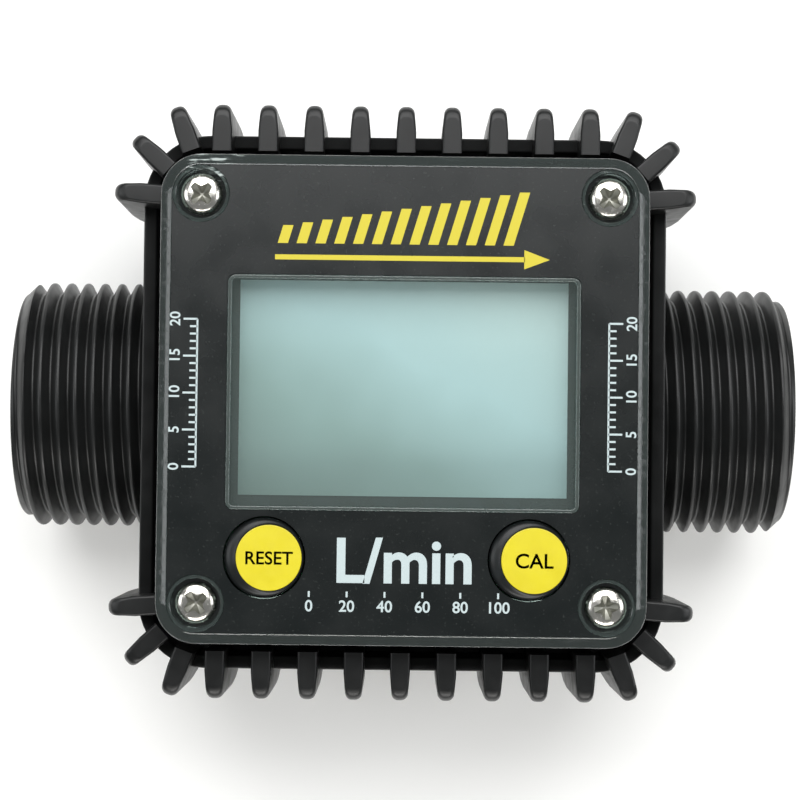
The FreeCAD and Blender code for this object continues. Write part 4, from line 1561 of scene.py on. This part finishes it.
# ---------------------------------------------------------------- push buttons
@dataclass
class PushButton:
    """One push button: black rubber boot with a sloping collar, yellow cap and its word, in millimetres.

    Attributes:
        name: The button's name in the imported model.
        word: What its cap says.
        letter_height: Height of the capitals.
        body: The body that it rides on.
        head: The display head, which draws the word.
    """

    name: str
    word: str
    letter_height: float
    body: Body
    head: DisplayHead
    barrel_foot: float = 0.6
    collar_top_gap: float = 0.3
    collar_lip: float = 0.12
    collar_crown: float = 0.16
    cap_edge: float = 0.1
    sections: int = 9

    def __post_init__(self) -> None:
        """Take the cap's and the boot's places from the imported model."""
        self.cap_low, self.cap_high = box_mm(self.name + "_cap")
        low, high = box_mm(self.name + "_boot")
        self.cap_place = ((self.cap_low.x + self.cap_high.x) / 2, (self.cap_low.y + self.cap_high.y) / 2)
        self.cap_r = (self.cap_high.x - self.cap_low.x) / 2
        self.boot_place = ((low.x + high.x) / 2, (low.y + high.y) / 2)
        self.boot_top, self.boot_low = high.z, low.z
        self.boot_r = (high.y - low.y) / 2

    def ring(
        self, bm: bmesh.types.BMesh, place: Point, radius: float, z: float
    ) -> list[bmesh.types.BMEdge]:
        """Add a level ring of edges.

        Args:
            bm: The shape that gets it.
            place: Its middle in plan.
            radius: Its radius.
            z: Its height.

        Returns:
            The ring's edges.
        """
        made = bmesh.ops.create_circle(bm, segments=72, radius=radius)["verts"]
        bmesh.ops.translate(bm, vec=(place[0], place[1], z), verts=made)
        found = set(made)
        return [e for e in bm.edges if set(e.verts) <= found]

    def boot(self) -> bmesh.types.BMesh:
        """Make the boot's barrel and its collar, which slopes up to the cap off centre.

        Returns:
            The boot.
        """
        bm = bmesh.new()
        shoulder = self.head.top - self.collar_top_gap
        barrel = (self.boot_low + self.barrel_foot, shoulder - 0.1)
        rings = [(self.boot_place, self.boot_r, z) for z in barrel]
        top_r = self.cap_r + self.collar_lip
        for index in range(self.sections):
            share = index / (self.sections - 1)
            crown = 2 * (1 - share) * self.collar_crown * math.sin(math.pi * share)
            place = tuple(a + (b - a) * share for a, b in zip(self.boot_place, self.cap_place))
            radius = self.boot_r + (top_r - self.boot_r) * share
            rings.append((place, radius, shoulder + (self.boot_top - shoulder) * share + crown))
        rings.append((self.cap_place, self.cap_r + 0.01, self.boot_top - 0.02))
        rings.append((self.cap_place, self.cap_r + 0.01, self.cap_low.z))
        loops = [self.ring(bm, place, radius, min(z, self.boot_top)) for place, radius, z in rings]
        for lower, upper in zip(loops, loops[1:]):
            bmesh.ops.bridge_loops(bm, edges=lower + upper)
        for loop in (loops[0], loops[-1]):
            bmesh.ops.contextual_create(bm, geom=loop)
        bmesh.ops.recalc_face_normals(bm, faces=bm.faces)
        return bm

    def cap(self) -> bmesh.types.BMesh:
        """Make the disc with its rounded edge.

        Returns:
            The cap.
        """
        low, top, r, edge = self.cap_low.z, self.cap_high.z, self.cap_r, self.cap_edge
        profile = [
            (low, 0.0),
            (low, r),
            (top - edge, r),
            (top - edge * 0.35, r - edge * 0.3),
            (top, r - edge * 1.2),
            (top, 0.0),
        ]
        return lathe(profile, Vector((0, 0, 1)), Vector((*self.cap_place, 0)), 96)

    def print_word(self) -> bmesh.types.BMesh:
        """Make the cap's word, flush with its top.

        Returns:
            The word.
        """
        bm = self.head.text(self.word, self.letter_height, self.cap_place)
        lift = self.cap_high.z - self.head.top - self.head.ink_height
        bmesh.ops.translate(bm, vec=(0, 0, lift), verts=bm.verts)
        return bm

    def dress(self) -> None:
        """Make the button's pieces."""
        name, body = self.name, self.body
        make_piece(name + "_rubber_boot", self.boot(), BOOT_RUBBER, body, [name + "_boot"])
        make_piece(name + "_yellow_cap", self.cap(), CAP_PLASTIC, body, [name + "_cap"])
        make_piece(name + "_word", self.print_word(), CAP_INK, body, weighted=False)


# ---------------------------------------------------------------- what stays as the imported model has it
@dataclass
class InnerWorks:
    """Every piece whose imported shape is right: it only gets its finish."""

    finishes: dict[str, Finish] = field(default_factory=dict)

    def __post_init__(self) -> None:
        """Choose each piece's finish."""
        x_rings, z_rings, fine = (6.0, 1.0, 1.0), (1.0, 1.0, 8.0), 0.003
        steel = PlatedMetal("ground_spring_steel", "#b4b5b3", 0.25, 1.0, mark_mm=0.25, stretch=x_rings)
        nickel = PlatedMetal("nickel_plated_spring_wire", "#c6c4bb", 0.2, 1.0)
        brass = PlatedMetal("turned_brass", "#c9a34e", 0.24, 1.0, mark_mm=0.2, stretch=z_rings)
        acetal = MouldedPlastic("natural_acetal", "#d5d4ca", 0.36, shade="#cbcabf", grain_depth_mm=fine)
        bearing = MouldedPlastic(
            "brown_bearing_plastic", "#4a382a", 0.34, shade="#534031", grain_depth_mm=fine
        )
        rotor = MouldedPlastic("blue_moulded_acetal", "#2a5f9e", 0.32, shade="#306aab", grain_depth_mm=fine)
        mask = GlossMoulding("green_solder_mask", "#1c5a35", 0.3, tint="#226840")
        ceramic = GlossMoulding("tan_fired_ceramic", "#a5835a", 0.35, tint="#b08d63")
        sleeve = GlossMoulding("green_shrink_sleeve", "#2f6f58", 0.25, tint="#34785f")
        glass = ClearPolycarbonate("clear_soda_glass", "#dfe9e4", 0.04, ior=1.52, transmission=0.9)
        self.finishes = {
            "module_case": CASE_ABS,
            "lcd_bezel": CASE_ABS,
            "module_gasket": SEAL_RUBBER,
            "zebra_strips": SEAL_RUBBER,
            "lcd_polariser": DISPLAY,
            "lcd_glass": DISPLAY_GLASS,
            "cover_inserts": brass,
            "cell_springs": nickel,
            "cell_contacts": nickel,
            "quartz_crystal": nickel,
            "rotor_magnets": nickel,
            "retaining_ring": steel,
            "rotor_shaft": steel,
            "circuit_board": mask,
            "buffer_capacitor": ceramic,
            "controller_chip": CASE_ABS,
            "reset_switch": CASE_ABS,
            "cal_switch": CASE_ABS,
            "reset_plunger": CASE_ABS,
            "cal_plunger": CASE_ABS,
            "reed_switch": glass,
            "cell_upper": sleeve,
            "cell_lower": sleeve,
            "inlet_straightener": acetal,
            "outlet_straightener": acetal,
            "inlet_bush": bearing,
            "outlet_bush": bearing,
            "thrust_washers": bearing,
            "turbine_rotor": rotor,
        }

    def dress(self) -> None:
        """Give each piece its finish."""
        for name, finish in self.finishes.items():
            node = frame["nodes"][name]
            material = finish.build()
            for slot in node.material_slots:
                slot.material = material
            log.info("%s: %s", name, finish.name)


# ---------------------------------------------------------------- floor, light and camera
@dataclass
class Studio:
    """Pale floor, soft lights and the camera, in metres."""

    focal_mm: float = 100.9
    sensor_mm: float = 36.0
    eye: tuple[float, float, float] = (-0.0004, -0.0084, 0.3264)
    target: tuple[float, float, float] = (-0.0004, 0.0, 0.0535)
    roll_degrees: float = 0.69
    floor_size: float = 4.0
    floor_colour: str = "#f7f7f5"

    def floor(self) -> None:
        """Make the floor."""
        mesh = bpy.data.meshes.new("studio_floor")
        bm = bmesh.new()
        bmesh.ops.create_grid(bm, x_segments=1, y_segments=1, size=self.floor_size / 2)
        bmesh.ops.translate(bm, vec=(0, 0, -0.0002), verts=bm.verts)
        bm.to_mesh(mesh)
        bm.free()
        mesh.materials.append(Finish("pale_floor", self.floor_colour, 0.9).build())
        floor = bpy.data.objects.new("studio_floor", mesh)
        bpy.context.scene.collection.objects.link(floor)

    def soft_box(self, name: str, place: Sequence[float], size: Point, power: float, colour: str) -> None:
        """Hang an area light that points at the object.

        Args:
            name: The light's name.
            place: Where it hangs.
            size: Its width and height.
            power: Watts.
            colour: Its colour, sRGB hex.
        """
        light = bpy.data.lights.new(name, "AREA")
        light.shape = "RECTANGLE"
        light.size, light.size_y = size
        light.energy = power
        light.color = linear(colour)[:3]
        lamp = bpy.data.objects.new(name, light)
        bpy.context.scene.collection.objects.link(lamp)
        lamp.location = place
        aim = Vector((0, 0, 0.03)) - Vector(place)
        lamp.rotation_euler = aim.to_track_quat("-Z", "Y").to_euler()

    def sky(self) -> None:
        """Set the even light from all round."""
        world = bpy.data.worlds.new("soft_room")
        world.use_nodes = True
        backdrop = world.node_tree.nodes["Background"]
        backdrop.inputs["Color"].default_value = linear("#f4f6f8")
        backdrop.inputs["Strength"].default_value = 0.24
        bpy.context.scene.world = world

    def camera(self) -> None:
        """Set the camera over the display face."""
        data = bpy.data.cameras.new("camera")
        data.lens = self.focal_mm
        data.sensor_width = self.sensor_mm
        data.clip_start = 0.01
        camera = bpy.data.objects.new("camera", data)
        bpy.context.scene.collection.objects.link(camera)
        roll = math.radians(self.roll_degrees)
        back = (Vector(self.eye) - Vector(self.target)).normalized()
        right = Vector((math.cos(roll), math.sin(roll), 0))
        right = (right - back * right.dot(back)).normalized()
        up = back.cross(right)
        turn = Matrix((right, up, back)).transposed().to_4x4()
        camera.matrix_world = Matrix.Translation(Vector(self.eye)) @ turn
        bpy.context.scene.camera = camera

    def dress(self) -> None:
        """Make the studio."""
        self.floor()
        self.sky()
        # The top light draws the sheen over the face, the others lift the fins and the pipe ends.
        self.soft_box("top_soft_box", (0.0, 0.33, 0.49), (0.7, 0.5), 5.0, "#ffffff")
        self.soft_box("front_soft_box", (0.0, -0.5, 0.3), (0.5, 0.2), 2.2, "#fffdfa")
        self.soft_box("left_soft_box", (-0.6, 0.05, 0.35), (0.3, 0.5), 1.2, "#fbfdff")
        self.soft_box("right_soft_box", (0.6, 0.05, 0.35), (0.3, 0.5), 1.5, "#fbfdff")
        self.camera()
        bpy.context.scene.view_settings.view_transform = "Standard"


def main() -> None:
    """Build every sub-assembly in order."""
    logging.basicConfig(level=logging.INFO, format="%(name)s: %(message)s")
    Studio().dress()
    Housing().dress()
    head = DisplayHead()
    head.dress()
    PushButton("reset", "RESET", 1.55, Body.RESET, head).dress()
    PushButton("cal", "CAL", 1.75, Body.CAL, head).dress()
    InnerWorks().dress()


if __name__ == "__main__":
    main()
